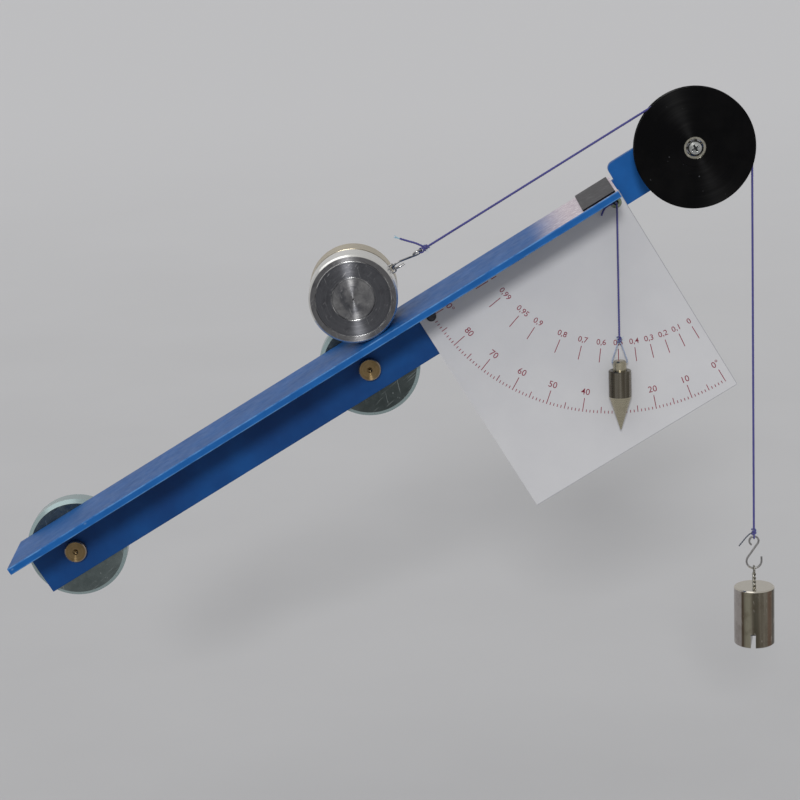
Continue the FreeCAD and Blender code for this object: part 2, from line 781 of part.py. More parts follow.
def bob_loop(diameter):
    """Loop of thread from the plumb line's knot through the cross hole in the bob's neck."""
    top = PIVOT.z - plumb_length
    hole = top - bob_loop_height - bob_hole_depth
    start = V(PIVOT.x, plumb_y(), top - knot_flat)
    corners = [V(PIVOT.x + side * bob_loop_corner, plumb_y(), hole) for side in (-1, 1)]
    return sweep(bent_path([start] + corners + [start], bob_loop_bend, "bob loop"), diameter, "bob loop")


def plumb_knot():
    """Knot at the foot of the plumb line, with the loop that holds the bob."""
    top = PIVOT.z - plumb_length
    lump = ball(V(PIVOT.x, plumb_y(), top - knot_flat), knot_radius)
    lump = lump.cut(Part.makeCylinder(2 * knot_radius, 2 * knot_radius, V(PIVOT.x, plumb_y(), top)))
    return lump.fuse(bob_loop(bob_loop_thread)).removeSplitter()


def plumb_bob():
    """Turned bob: neck with a cross hole, barrel and cone."""
    top = PIVOT.z - plumb_length - bob_loop_height
    neck = bob_neck_diameter / 2
    body = bob_diameter / 2
    shoulder = top - bob_neck_height
    foot = shoulder - bob_body_height
    tip = foot - bob_cone_height
    outline = [(0, top), (neck - bob_neck_chamfer, top), (neck, top - bob_neck_chamfer), (neck, shoulder),
               (body - bob_chamfer, shoulder), (body, shoulder - bob_chamfer), (body, foot),
               (bob_tip_radius, tip), (0, tip)]
    bob = turned_z(outline, PIVOT.x, plumb_y())
    return bob.cut(bob_loop(bob_loop_thread + 4 * thread_clearance))


RAIL_FRAME_NODES = {
    "rail": rail,
    "end_plate": end_plate,
    "clamp_screws": clamp_screws,
    "protractor_card": protractor_card,
    "card_screw": card_screw,
    "plumb_eyelet": plumb_eyelet,
    "pulley_bracket": pulley_bracket,
    "bracket_screws": bracket_screws,
    "bracket_nuts": bracket_nuts,
    "pulley_wheel": pulley_wheel,
    "bearing_outer_ring": bearing_outer_ring,
    "bearing_inner_ring": bearing_inner_ring,
    "bearing_balls": bearing_balls,
    "axle_washer": axle_washer,
    "axle_spacer": axle_spacer,
    "axle_screw": axle_screw,
    "axle_nut": axle_nut,
    "roller": roller_body,
    "roller_wire_ring": roller_wire_ring,
    "roller_hook": roller_hook,
    "run_knot": run_knot,
    "thread_run": thread_run,
    "thread_wrap": thread_wrap,
}

WORLD_FRAME_NODES = {
    "thread_drop": thread_drop,
    "drop_knot": drop_knot,
    "mass_hook": mass_hook,
    "mass_eye": mass_eye,
    "mass_body": mass_body,
    "mass_pin": mass_pin,
    "plumb_line": plumb_line,
    "plumb_tail": plumb_tail,
    "plumb_knot": plumb_knot,
    "plumb_bob": plumb_bob,
}

os.makedirs("parts", exist_ok=True)
for place, x in (("lower", 0.0), ("upper", magnet_spacing)):
    to_world(magnet_cup(x)).exportStep("parts/magnet_cup_%s.step" % place)
    to_world(magnet_core(x)).exportStep("parts/magnet_core_%s.step" % place)
for name, build in RAIL_FRAME_NODES.items():
    to_world(build()).exportStep("parts/%s.step" % name)
for name, build in WORLD_FRAME_NODES.items():
    build().exportStep("parts/%s.step" % name)

for label, point in (("pulley axis", PULLEY), ("plumb pivot", PIVOT),
                     ("roller axis", world_point(roller_rest, thread_y, roller_z)),
                     ("upper magnet", world_point(magnet_spacing, 0, 0))):
    print("%s at %.3f %.3f %.3f" % (label, point.x, point.y, point.z))
print("drop x %.3f, hook top z %.3f, mass top z %.3f" % (drop_x, hook_top_z, mass_top_z()))
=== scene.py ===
import math
import random

import bmesh
import bpy
from mathutils import Matrix, Vector

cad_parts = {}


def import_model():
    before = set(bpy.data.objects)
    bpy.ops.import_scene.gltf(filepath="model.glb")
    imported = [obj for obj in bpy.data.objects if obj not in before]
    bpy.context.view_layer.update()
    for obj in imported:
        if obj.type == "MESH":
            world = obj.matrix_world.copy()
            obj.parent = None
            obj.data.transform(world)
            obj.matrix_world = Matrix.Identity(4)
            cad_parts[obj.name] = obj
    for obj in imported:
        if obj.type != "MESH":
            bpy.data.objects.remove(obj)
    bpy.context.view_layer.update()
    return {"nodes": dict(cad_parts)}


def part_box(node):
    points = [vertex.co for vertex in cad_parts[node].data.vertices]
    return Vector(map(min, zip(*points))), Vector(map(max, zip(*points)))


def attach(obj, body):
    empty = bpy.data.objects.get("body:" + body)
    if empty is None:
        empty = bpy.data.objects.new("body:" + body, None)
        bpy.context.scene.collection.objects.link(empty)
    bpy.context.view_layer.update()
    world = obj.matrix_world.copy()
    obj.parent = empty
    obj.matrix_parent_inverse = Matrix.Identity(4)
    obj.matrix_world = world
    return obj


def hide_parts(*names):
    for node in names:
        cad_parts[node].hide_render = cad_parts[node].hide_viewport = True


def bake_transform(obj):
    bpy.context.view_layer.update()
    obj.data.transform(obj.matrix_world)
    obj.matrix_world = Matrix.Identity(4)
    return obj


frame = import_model()
random.seed(7)

# Places shared with the solids, in metres
TILT = math.radians(30.0)
ALONG = Vector((math.cos(TILT), 0, math.sin(TILT)))
NORMAL = Vector((-math.sin(TILT), 0, math.cos(TILT)))
TOWARDS = Vector((0, -1, 0))
PIVOT = Vector((0.310867, -0.017, 0.187562))
PULLEY = Vector((0.351894, -0.0385, 0.219101))
ROLLER = Vector((0.164611, -0.0385, 0.146885))
WRAP_RADIUS = 0.0311
KNOT_TOP = Vector((0.382994, -0.0385, 0.002601))
HOOK_TOP = Vector((0.382994, -0.0385, -0.001249))
MASS_TOP = Vector((0.382994, -0.0385, -0.030349))
THREAD = 0.0014
FLOOR_Z = -0.2
TRACK_Z = 0.0204
TRACK_FRONT_Y = -0.065
PLUMB_Y = -0.0237
PLUMB_DROP = 0.075
PLUMB_TAIL_Y = -0.0186


def rail_point(x, y, z):
    """A point given in millimetres in the rail's own frame."""
    return ALONG * (x / 1000) + Vector((0, y / 1000, 0)) + NORMAL * (z / 1000)


# Materials

def shader(name):
    """An empty material with its surface shader."""
    mat = bpy.data.materials.new(name)
    mat.use_nodes = True
    tree = mat.node_tree
    return mat, tree, tree.nodes["Principled BSDF"]


def add(tree, kind, **settings):
    node = tree.nodes.new(kind)
    for key, value in settings.items():
        setattr(node, key, value)
    return node


def coords(tree, scale=(1, 1, 1), rail=False, centre=(0, 0, 0), turn=None):
    """Object coordinates about a point, turned to the rail's frame if asked, then scaled."""
    where = add(tree, "ShaderNodeTexCoord")
    shift = add(tree, "ShaderNodeMapping")
    shift.inputs["Location"].default_value = [-v for v in centre]
    tree.links.new(where.outputs["Object"], shift.inputs["Vector"])
    rotate = add(tree, "ShaderNodeMapping")
    rotate.inputs["Rotation"].default_value = turn or ((0, TILT, 0) if rail else (0, 0, 0))
    tree.links.new(shift.outputs["Vector"], rotate.inputs["Vector"])
    size = add(tree, "ShaderNodeMapping")
    size.inputs["Scale"].default_value = scale
    tree.links.new(rotate.outputs["Vector"], size.inputs["Vector"])
    return size.outputs["Vector"]


def noise(tree, vector, scale, detail=4.0, rough=0.55):
    node = add(tree, "ShaderNodeTexNoise")
    node.inputs["Scale"].default_value = scale
    node.inputs["Detail"].default_value = detail
    node.inputs["Roughness"].default_value = rough
    tree.links.new(vector, node.inputs["Vector"])
    return node.outputs["Fac"]


def ramp(tree, value, stops):
    """Colour ramp from (position, grey or colour) stops."""
    node = add(tree, "ShaderNodeValToRGB")
    elements = node.color_ramp.elements
    while len(elements) < len(stops):
        elements.new(0.5)
    for element, (position, colour) in zip(elements, stops):
        element.position = position
        if isinstance(colour, (int, float)):
            colour = (colour, colour, colour)
        element.color = (*colour, 1.0)
    tree.links.new(value, node.inputs["Fac"])
    return node.outputs["Color"]


def spread(tree, value, low, high):
    """From low to high over the middle part of a noise."""
    return ramp(tree, value, [(0.3, low), (0.7, high)])


def maths(tree, operation, a, b=None):
    node = add(tree, "ShaderNodeMath", operation=operation)
    for socket, value in zip(node.inputs, (a, b)):
        if value is None:
            continue
        if isinstance(value, (int, float)):
            socket.default_value = value
        else:
            tree.links.new(value, socket)
    return node.outputs["Value"]


def mix(tree, factor, a, b):
    """Mix of two colours; each may be a socket or a plain colour."""
    node = add(tree, "ShaderNodeMix", data_type="RGBA")
    pairs = ((node.inputs[0], factor), (node.inputs[6], a), (node.inputs[7], b))
    for socket, value in pairs:
        if isinstance(value, (int, float)):
            socket.default_value = value
        elif isinstance(value, tuple):
            socket.default_value = (*value, 1.0)
        else:
            tree.links.new(value, socket)
    return node.outputs[2]


def bump(tree, bsdf, heights):
    """Chain of bumps from (height socket, distance in metres)."""
    last = None
    for height, distance in heights:
        node = add(tree, "ShaderNodeBump")
        node.inputs["Distance"].default_value = distance
        node.inputs["Strength"].default_value = 1.0
        tree.links.new(height, node.inputs["Height"])
        if last is not None:
            tree.links.new(last, node.inputs["Normal"])
        last = node.outputs["Normal"]
    tree.links.new(last, bsdf.inputs["Normal"])


def surface(tree, bsdf, tone, rough, heights, metallic=0.0):
    """Colour, roughness, bump and the share of metal."""
    tree.links.new(tone, bsdf.inputs["Base Color"])
    tree.links.new(rough, bsdf.inputs["Roughness"])
    bsdf.inputs["Metallic"].default_value = metallic
    bump(tree, bsdf, heights)


def separate(tree, vector):
    node = add(tree, "ShaderNodeSeparateXYZ")
    tree.links.new(vector, node.inputs[0])
    return node.outputs


def radius_of(tree, vector):
    """Distance from the Y axis of the given coordinates."""
    parts = separate(tree, vector)
    squares = maths(tree, "ADD", maths(tree, "MULTIPLY", parts[0], parts[0]),
                    maths(tree, "MULTIPLY", parts[2], parts[2]))
    return maths(tree, "SQRT", squares)


def scratches(tree, vector, scale, low=0.62, high=0.68):
    """Thin bright lines from noise that is stretched by its coordinates."""
    return ramp(tree, noise(tree, vector, scale, 2.0, 0.5), [(low, 0.0), (high, 1.0)])


def span_mask(tree, value, low, high, soft):
    """1 where the value lies between low and high, with soft edges."""
    rise = add(tree, "ShaderNodeMapRange", interpolation_type="SMOOTHSTEP")
    rise.inputs["From Min"].default_value = low - soft
    rise.inputs["From Max"].default_value = low + soft
    tree.links.new(value, rise.inputs["Value"])
    fall = add(tree, "ShaderNodeMapRange", interpolation_type="SMOOTHSTEP")
    fall.inputs["From Min"].default_value = high + soft
    fall.inputs["From Max"].default_value = high - soft
    tree.links.new(value, fall.inputs["Value"])
    return maths(tree, "MULTIPLY", rise.outputs["Result"], fall.outputs["Result"])


def grooved(tree, bsdf, here, amount):
    """Stretch the gloss across the turning marks that run round the Y axis of these coordinates."""
    flat = add(tree, "ShaderNodeVectorMath", operation="MULTIPLY")
    flat.inputs[1].default_value = (1, 0, 1)
    tree.links.new(here, flat.inputs[0])
    unit = add(tree, "ShaderNodeVectorMath", operation="NORMALIZE")
    tree.links.new(flat.outputs["Vector"], unit.inputs[0])
    both = add(tree, "ShaderNodeVectorMath", operation="ADD")
    both.inputs[1].default_value = (0, 1, 0)
    tree.links.new(unit.outputs["Vector"], both.inputs[0])
    out = add(tree, "ShaderNodeVectorTransform", vector_type="VECTOR")
    out.convert_from = "OBJECT"
    out.convert_to = "WORLD"
    tree.links.new(both.outputs["Vector"], out.inputs["Vector"])
    tree.links.new(out.outputs["Vector"], bsdf.inputs["Tangent"])
    bsdf.inputs["Anisotropic"].default_value = amount


# Specular level of the blue paint
PAINT_GLOSS = 0.16


def blue_tone(tree, here):
    return spread(tree, noise(tree, here, 60), (0.004, 0.072, 0.25), (0.007, 0.096, 0.32))


def blue_roughness(tree, here):
    return spread(tree, noise(tree, here, 180), 0.34, 0.46)


def blue_grain(tree, here):
    """Soft waves and fine grain of the blue paint, with their depths."""
    return [(noise(tree, here, 900), 0.00003), (noise(tree, here, 5000, 2.0), 0.000008)]


def bracket_paint():
    """The same blue paint on the pulley's arm, with a few chips."""
    mat, tree, bsdf = shader("bracket_blue")
    here = coords(tree, rail=True)
    chips = ramp(tree, noise(tree, here, 420, 2.0), [(0.76, 0.0), (0.78, 0.7)])
    tone = mix(tree, 0.1, blue_tone(tree, here), (0.012, 0.11, 0.40))
    tone = mix(tree, chips, tone, (0.12, 0.24, 0.42))
    surface(tree, bsdf, tone, blue_roughness(tree, here), blue_grain(tree, here))
    bsdf.inputs["Specular IOR Level"].default_value = PAINT_GLOSS
    return mat


def edge_line(tree, parts, z, y):
    """Narrow band along the rail, at this height and depth."""
    near_z = span_mask(tree, parts[2], z - 0.0004, z + 0.0004, 0.0002)
    return maths(tree, "MULTIPLY", near_z, span_mask(tree, parts[1], y - 0.0005, y + 0.0005, 0.0002))


# Two chips in the paint of the track's front edge: place along the rail and height in its frame
PAINT_CHIPS = ((0.0258, 0.0192), (-0.0226, 0.0188))


def paint_chips(tree, here, parts):
    """Where the front edge is chipped: small chips low down, and two larger ones."""
    small = ramp(tree, noise(tree, here, 170, 2.0), [(0.72, 0.0), (0.735, 1.0)])
    marks = maths(tree, "MULTIPLY", small, edge_line(tree, parts, TRACK_Z - 0.0034, TRACK_FRONT_Y))
    on_front = span_mask(tree, parts[1], -0.07, TRACK_FRONT_Y + 0.0006, 0.0002)
    for along_rail, height in PAINT_CHIPS:
        spot = span_mask(tree, parts[0], along_rail - 0.0005, along_rail + 0.0005, 0.0008)
        tall = span_mask(tree, parts[2], height - 0.0002, height + 0.0002, 0.0006)
        spot = maths(tree, "MULTIPLY", spot, maths(tree, "MULTIPLY", tall, 0.5))
        marks = maths(tree, "MAXIMUM", marks, maths(tree, "MULTIPLY", spot, on_front))
    return marks


def rail_paint_tone(tree, here, parts, rubbed):
    """Blue with painted shade on the web under the flange, painted highlights along the front face's long
    corners, rubbed along the track, and chipped in front.
    """
    web = span_mask(tree, parts[2], -0.1, TRACK_Z - 0.0043, 0.0002)
    # Painted shade: the web under the flange is darkened, patchily, where the flange's shadow falls.
    web_shade = ramp(tree, noise(tree, here, 22, 3.0), [(0.35, 0.4), (0.65, 0.65)])
    tone = mix(tree, maths(tree, "MULTIPLY", web, web_shade), blue_tone(tree, here), (0.001, 0.016, 0.085))
    tone = mix(tree, rubbed, tone, (0.08, 0.20, 0.42))
    # Painted highlight: two thin lighter lines along the front face's top and bottom corners, where they
    # catch the light.
    edges = maths(tree, "ADD", edge_line(tree, parts, TRACK_Z - 0.0002, TRACK_FRONT_Y),
                  edge_line(tree, parts, TRACK_Z - 0.0038, TRACK_FRONT_Y))
    patchy = ramp(tree, noise(tree, here, 130), [(0.35, 0.15), (0.6, 0.8)])
    tone = mix(tree, maths(tree, "MULTIPLY", edges, patchy), tone, (0.09, 0.23, 0.47))
    return mix(tree, paint_chips(tree, here, parts), tone, (0.35, 0.5, 0.62))


def bare_share(tree, along, parts, on_top):
    """Where the track's top is worn to bare metal: more and more towards its upper end."""
    fade = add(tree, "ShaderNodeMapRange", interpolation_type="SMOOTHSTEP")
    fade.inputs["From Min"].default_value = 0.318
    fade.inputs["From Max"].default_value = 0.346
    ragged = maths(tree, "MULTIPLY", noise(tree, along, 0.8), 0.012)
    tree.links.new(maths(tree, "ADD", parts[0], ragged), fade.inputs["Value"])
    return maths(tree, "MULTIPLY", on_top, fade.outputs["Result"])


def blue_paint():
    """Semi-gloss blue paint, rubbed along the track, with painted highlights on its front corners and painted
    shade on the web, and worn to bare metal near the track's upper end.
    """
    mat, tree, bsdf = shader("painted_blue")
    here = coords(tree, rail=True)
    parts = separate(tree, here)
    along = coords(tree, (9, 900, 900), rail=True)
    lines = scratches(tree, along, 1.0, 0.66, 0.72)
    on_top = maths(tree, "GREATER_THAN", parts[2], TRACK_Z - 0.00005)
    rubbed = maths(tree, "MULTIPLY", on_top, maths(tree, "MULTIPLY", lines, 0.3))
    painted = rail_paint_tone(tree, here, parts, rubbed)
    bare = bare_share(tree, along, parts, on_top)
    cross = scratches(tree, coords(tree, (240, 1600, 240), turn=(0, TILT, 0.5)), 1.0, 0.5, 0.6)
    metal_tone = mix(tree, cross, (0.62, 0.52, 0.58), (0.98, 0.90, 0.93))
    rough = mix(tree, bare, blue_roughness(tree, here), (0.36, 0.36, 0.36))
    heights = blue_grain(tree, here) + [(lines, 0.00001)]
    surface(tree, bsdf, mix(tree, bare, painted, metal_tone), rough, heights)
    tree.links.new(maths(tree, "MULTIPLY", bare, 0.6), bsdf.inputs["Metallic"])
    bsdf.inputs["Specular IOR Level"].default_value = PAINT_GLOSS
    return mat


def metal(name, low, high, rough, patch, grain=(1, 1, 1), grain_scale=2500, stains=0.0):
    """Bare metal with patches of tone, fine grain and, if asked, faint dark stains."""
    mat, tree, bsdf = shader(name)
    here = coords(tree)
    tone = spread(tree, noise(tree, here, patch), low, high)
    if stains:
        spots = ramp(tree, noise(tree, here, patch * 2.3, 6.0, 0.7), [(0.5, 0.0), (0.72, stains)])
        tone = mix(tree, spots, tone, (0.05, 0.05, 0.05))
    fine = noise(tree, coords(tree, grain), grain_scale, 3.0)
    heights = [(fine, 0.00001), (noise(tree, here, 400, 3.0), 0.00002)]
    surface(tree, bsdf, tone, spread(tree, fine, rough * 0.75, rough * 1.3), heights, 1.0)
    return mat


def turning_rings(tree, radius, scale):
    """Noise that depends only on the distance from the axis, as turning marks do."""
    place = add(tree, "ShaderNodeCombineXYZ")
    tree.links.new(radius, place.inputs[0])
    return noise(tree, place.outputs[0], scale, 3.0, 0.7)


def crossed_scratches(tree, centre, amount):
    """Two sets of short scratches at different angles."""
    first = scratches(tree, coords(tree, (90, 900, 1400), turn=(0, 0.9, 0.2), centre=centre), 1.0, 0.67, 0.71)
    level = coords(tree, (1300, 900, 110), turn=(0, 0.35, 0), centre=centre)
    second = scratches(tree, level, 1.0, 0.68, 0.72)
    return maths(tree, "MULTIPLY", maths(tree, "MAXIMUM", first, second), amount)


def nearer_magnet(tree):
    """Coordinates about whichever magnet's centre is nearer."""
    here = coords(tree)
    upper = maths(tree, "GREATER_THAN", separate(tree, here)[0], MAGNET_HIGH.x / 2)
    shift = add(tree, "ShaderNodeVectorMath", operation="SCALE")
    shift.inputs[0].default_value = MAGNET_HIGH
    tree.links.new(upper, shift.inputs["Scale"])
    moved = add(tree, "ShaderNodeVectorMath", operation="SUBTRACT")
    tree.links.new(here, moved.inputs[0])
    tree.links.new(shift.outputs["Vector"], moved.inputs[1])
    return moved.outputs["Vector"]


def turned_brass():
    """Brass screw heads with fine turning rings, a bright fan, a pale bevel and painted shade over the hole
    in the middle.
    """
    mat, tree, bsdf = shader("turned_brass")
    here = nearer_magnet(tree)
    radius = radius_of(tree, here)
    rings = turning_rings(tree, radius, 2200)
    tone = ramp(tree, rings, [(0.25, (0.16, 0.108, 0.048)), (0.75, (0.32, 0.23, 0.12))])
    smudge = ramp(tree, noise(tree, here, 140, 5.0, 0.6), [(0.4, 0.0), (0.65, 0.35)])
    tone = mix(tree, smudge, tone, (0.06, 0.042, 0.018))
    rim = span_mask(tree, radius, 0.0057, 0.0064, 0.0001)
    tone = mix(tree, maths(tree, "MULTIPLY", rim, 0.6), tone, (0.5, 0.42, 0.36))
    # Painted shade: the middle of the head, over its hole, is darkened.
    centre_shade = span_mask(tree, radius, -0.01, 0.0008, 0.0002)
    tone = mix(tree, maths(tree, "MULTIPLY", centre_shade, 0.3), tone, (0.02, 0.014, 0.008))
    surface(tree, bsdf, tone, ramp(tree, rings, [(0.2, 0.17), (0.8, 0.27)]), [(rings, 0.00001)], 1.0)
    grooved(tree, bsdf, here, 0.96)
    return mat


def roller_face(tree, here, radius, rings):
    """End face kept dark as painted shade, with a cloudy middle, a paler outer band, dark grime, scratches
    and two bright rings that are painted highlights.
    """
    # Painted shade: the face's tone is kept far darker than the side's, standing for the dark surroundings it
    # reflects.
    tone = ramp(tree, rings, [(0.25, (0.062, 0.065, 0.073)), (0.75, (0.15, 0.15, 0.16))])
    cloud = ramp(tree, noise(tree, here, 110, 5.0, 0.65), [(0.35, 0.0), (0.65, 0.75)])
    middle = maths(tree, "MULTIPLY", span_mask(tree, radius, -0.01, 0.0112, 0.0006), cloud)
    tone = mix(tree, middle, tone, (0.35, 0.345, 0.34))
    outer = span_mask(tree, radius, 0.0205, 0.03, 0.0004)
    tone = mix(tree, maths(tree, "MULTIPLY", outer, 0.3), tone, (0.30, 0.29, 0.28))
    grime = ramp(tree, noise(tree, here, 170, 6.0, 0.7), [(0.5, 0.0), (0.7, 0.45)])
    tone = mix(tree, grime, tone, (0.035, 0.035, 0.04))
    # Painted highlights: two thin light rings on the face.
    patchy = ramp(tree, noise(tree, here, 90, 3.0), [(0.4, 0.15), (0.6, 0.9)])
    for ring in (0.0117, 0.0206):
        band = span_mask(tree, radius, ring - 0.0002, ring + 0.0002, 0.0001)
        tone = mix(tree, maths(tree, "MULTIPLY", band, patchy), tone, (0.75, 0.75, 0.74))
    return mix(tree, crossed_scratches(tree, tuple(ROLLER), 0.3), tone, (0.6, 0.6, 0.6))


def roller_side(tree, depth):
    """Turned side painted pale as a painted reflection, golden behind the groove."""
    turned = turning_rings(tree, depth, 900)
    # Painted reflection: the side's pale tones stand for the light it reflects.
    pale_reflection = spread(tree, turned, (0.66, 0.65, 0.62), (0.90, 0.89, 0.86))
    golden = spread(tree, turned, (0.40, 0.34, 0.24), (0.66, 0.60, 0.47))
    return mix(tree, span_mask(tree, depth, 0.0012, 0.05, 0.0002), pale_reflection, golden)


def roller_metal():
    """Turned aluminium: faces kept dark as painted shade and a side painted pale as a painted reflection."""
    mat, tree, bsdf = shader("roller_alu")
    here = coords(tree, centre=tuple(ROLLER))
    radius = radius_of(tree, here)
    rings = turning_rings(tree, radius, 1500)
    on_side = span_mask(tree, radius, 0.0233, 0.03, 0.00012)
    side = roller_side(tree, separate(tree, here)[1])
    tone = mix(tree, on_side, roller_face(tree, here, radius, rings), side)
    heights = [(rings, 0.000012), (noise(tree, here, 500, 3.0), 0.00001)]
    surface(tree, bsdf, tone, ramp(tree, rings, [(0.2, 0.18), (0.8, 0.3)]), heights, 1.0)
    grooved(tree, bsdf, here, 0.95)
    return mat


def pulley_plastic():
    """Moulded black disc, turned smooth, with a faint fan of gloss, haze and dust."""
    mat, tree, bsdf = shader("pulley_black")
    here = coords(tree, centre=tuple(PULLEY))
    rings = turning_rings(tree, radius_of(tree, here), 420)
    haze = ramp(tree, noise(tree, here, 38, 4.0, 0.6), [(0.45, 0.0), (0.75, 0.5)])
    tone = mix(tree, haze, (0.0016, 0.0016, 0.0018), (0.007, 0.0065, 0.0065))
    dust = ramp(tree, noise(tree, here, 560, 1.0), [(0.79, 0.0), (0.82, 0.3)])
    tone = mix(tree, dust, tone, (0.2, 0.2, 0.22))
    heights = [(rings, 0.00002), (noise(tree, here, 1800, 2.0), 0.000004)]
    surface(tree, bsdf, tone, spread(tree, rings, 0.2, 0.34), heights)
    bsdf.inputs["Specular IOR Level"].default_value = 0.05
    grooved(tree, bsdf, here, 0.9)
    return mat


# In metres: the axle screw's place in the rail's frame, with the depth from which its cross recess is
# darkest, and half the length and width of the recess's arms
AXLE_IN_RAIL = (0.4143, -0.0434, 0.0138)
RECESS_HALF_LENGTH = 0.0021
RECESS_HALF_WIDTH = 0.00056


def cross_recess(tree, across, up):
    """Where the screw head's cross recess lies, seen from in front."""
    arms = []
    for along, beside in ((across, up), (up, across)):
        length = span_mask(tree, along, -RECESS_HALF_LENGTH, RECESS_HALF_LENGTH, 0.0001)
        width = span_mask(tree, beside, -RECESS_HALF_WIDTH, RECESS_HALF_WIDTH, 0.00006)
        arms.append(maths(tree, "MULTIPLY", length, width))
    return maths(tree, "MAXIMUM", arms[0], arms[1])


def axle_head():
    """Plated pan head with painted shade in its cross recess."""
    mat, tree, bsdf = shader("axle_head")
    here = coords(tree, rail=True)
    parts = separate(tree, here)
    cross = cross_recess(tree, maths(tree, "SUBTRACT", parts[0], AXLE_IN_RAIL[0]),
                         maths(tree, "SUBTRACT", parts[2], AXLE_IN_RAIL[2]))
    # Painted shade: the cross recess is darkened, more so deeper in.
    deep = span_mask(tree, parts[1], AXLE_IN_RAIL[1], 0.01, 0.00008)
    tone = spread(tree, noise(tree, here, 500, 5.0), (0.30, 0.31, 0.30), (0.60, 0.61, 0.59))
    recess_shade = maths(tree, "ADD", maths(tree, "MULTIPLY", deep, 0.4), 0.55)
    tone = mix(tree, maths(tree, "MULTIPLY", cross, recess_shade), tone, (0.02, 0.022, 0.025))
    rough = spread(tree, noise(tree, here, 900), 0.16, 0.3)
    surface(tree, bsdf, tone, rough, [(noise(tree, here, 700, 3.0), 0.00003)], 1.0)
    return mat


def plate_metal():
    """Grey plate with fine slanted brushing, its front edge darkened as painted shade."""
    mat, tree, bsdf = shader("plate_steel")
    here = coords(tree, rail=True)
    brushed = noise(tree, coords(tree, (150, 1000, 150), turn=(0, TILT, 0.85)), 1.0, 3.0, 0.6)
    tone = ramp(tree, brushed,
                [(0.4, (0.03, 0.028, 0.031)), (0.52, (0.058, 0.056, 0.062)), (0.63, (0.15, 0.145, 0.15))])
    stains = ramp(tree, noise(tree, here, 260, 5.0, 0.7), [(0.45, 0.0), (0.7, 0.35)])
    tone = mix(tree, stains, tone, (0.04, 0.035, 0.033))
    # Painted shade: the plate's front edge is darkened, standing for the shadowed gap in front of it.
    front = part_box("end_plate")[0][1]
    front_edge_shade = span_mask(tree, separate(tree, here)[1], front - 0.001, front + 0.00012, 0.00004)
    tone = mix(tree, front_edge_shade, tone, (0.003, 0.004, 0.008))
    surface(tree, bsdf, tone, spread(tree, brushed, 0.4, 0.55), [(brushed, 0.00001)], 0.85)
    return mat


def magnet_metal(name, centre, dark):
    """Plated pot: a glossy, scratched face inside a pale bevelled rim; dark below 1 darkens the whole copy as
    painted shade.
    """
    mat, tree, bsdf = shader(name)
    here = coords(tree, centre=centre)
    radius = radius_of(tree, here)
    # Painted shade: dark below 1 darkens this copy of the material.
    low = tuple(v * dark for v in (0.10, 0.122, 0.12))
    high = tuple(v * dark for v in (0.17, 0.20, 0.198))
    tone = ramp(tree, noise(tree, here, 45, 5.0, 0.65), [(0.35, low), (0.65, high)])
    steep = scratches(tree, coords(tree, (60, 60, 1500), turn=(0, 0.7, 0)), 1.0, 0.66, 0.72)
    level = scratches(tree, coords(tree, (1300, 60, 70), turn=(0, 0.2, 0)), 1.0, 0.68, 0.73)
    lines = maths(tree, "MAXIMUM", steep, level)
    specks = ramp(tree, noise(tree, here, 520, 1.0), [(0.74, 0.0), (0.77, 1.0)])
    marks = maths(tree, "MULTIPLY", maths(tree, "MAXIMUM", lines, specks), 0.35)
    tone = mix(tree, marks, tone, (0.5, 0.55, 0.54))
    rim = span_mask(tree, radius, 0.0264, 0.04, 0.0001)
    tone = mix(tree, rim, tone, (0.29, 0.37, 0.37))
    heights = [(lines, 0.000006), (noise(tree, here, 120), 0.00001)]
    surface(tree, bsdf, tone, spread(tree, noise(tree, here, 300), 0.16, 0.3), heights)
    tree.links.new(maths(tree, "SUBTRACT", 1.0, maths(tree, "MULTIPLY", rim, 0.5)), bsdf.inputs["Metallic"])
    return mat


def bob_metal():
    """Turned brass with tarnish stains; its dark barrel with upright streaks and its paler neck and cone are
    painted reflections.
    """
    mat, tree, bsdf = shader("bob_brass")
    here = coords(tree, centre=(PIVOT.x, PLUMB_Y, PIVOT.z))
    parts = separate(tree, here)
    height = add(tree, "ShaderNodeCombineXYZ")
    tree.links.new(parts[2], height.inputs[0])
    rings = noise(tree, height.outputs[0], 5200, 2.0, 0.6)
    upright = noise(tree, coords(tree, (420, 420, 8), centre=(PIVOT.x, PLUMB_Y, PIVOT.z)), 1.0, 2.0)
    # Painted reflection: a dark barrel with upright streaks.
    dark = ramp(tree, upright,
                [(0.3, (0.08, 0.068, 0.05)), (0.5, (0.12, 0.106, 0.08)), (0.7, (0.26, 0.24, 0.2))])
    # Painted reflection: paler neck and cone.
    pale = spread(tree, rings, (0.42, 0.38, 0.28), (0.50, 0.46, 0.34))
    cone = span_mask(tree, parts[2], -0.14, -0.1084, 0.0002)
    neck = span_mask(tree, parts[2], -0.0934, -0.08, 0.0002)
    tone = mix(tree, cone, mix(tree, neck, dark, pale), pale)
    stains = ramp(tree, noise(tree, here, 160, 4.0, 0.6), [(0.5, 0.0), (0.75, 0.2)])
    tone = mix(tree, stains, tone, (0.09, 0.07, 0.045))
    heights = [(rings, 0.000001), (noise(tree, here, 300, 2.0), 0.000003)]
    surface(tree, bsdf, tone, ramp(tree, rings, [(0.2, 0.2), (0.8, 0.34)]), heights, 1.0)
    return mat


# Upright bands of painted reflection on the mass: from and to in millimetres, softness, share and colour
MASS_REFLECTION_BANDS = (
    (-12.0, -8.4, 0.5, 0.8, (0.50, 0.46, 0.44)),
    (-8.2, -7.2, 0.4, 0.8, (0.09, 0.06, 0.04)),
    (-6.8, -3.4, 1.0, 0.7, (0.36, 0.34, 0.25)),
    (-2.4, 0.6, 1.0, 0.7, (0.075, 0.07, 0.05)),
    (6.0, 8.6, 0.6, 0.6, (0.19, 0.10, 0.065)),
    (9.0, 10.2, 0.4, 0.8, (0.06, 0.05, 0.04)),
    (10.5, 12.0, 0.3, 0.8, (0.45, 0.45, 0.42)),
)


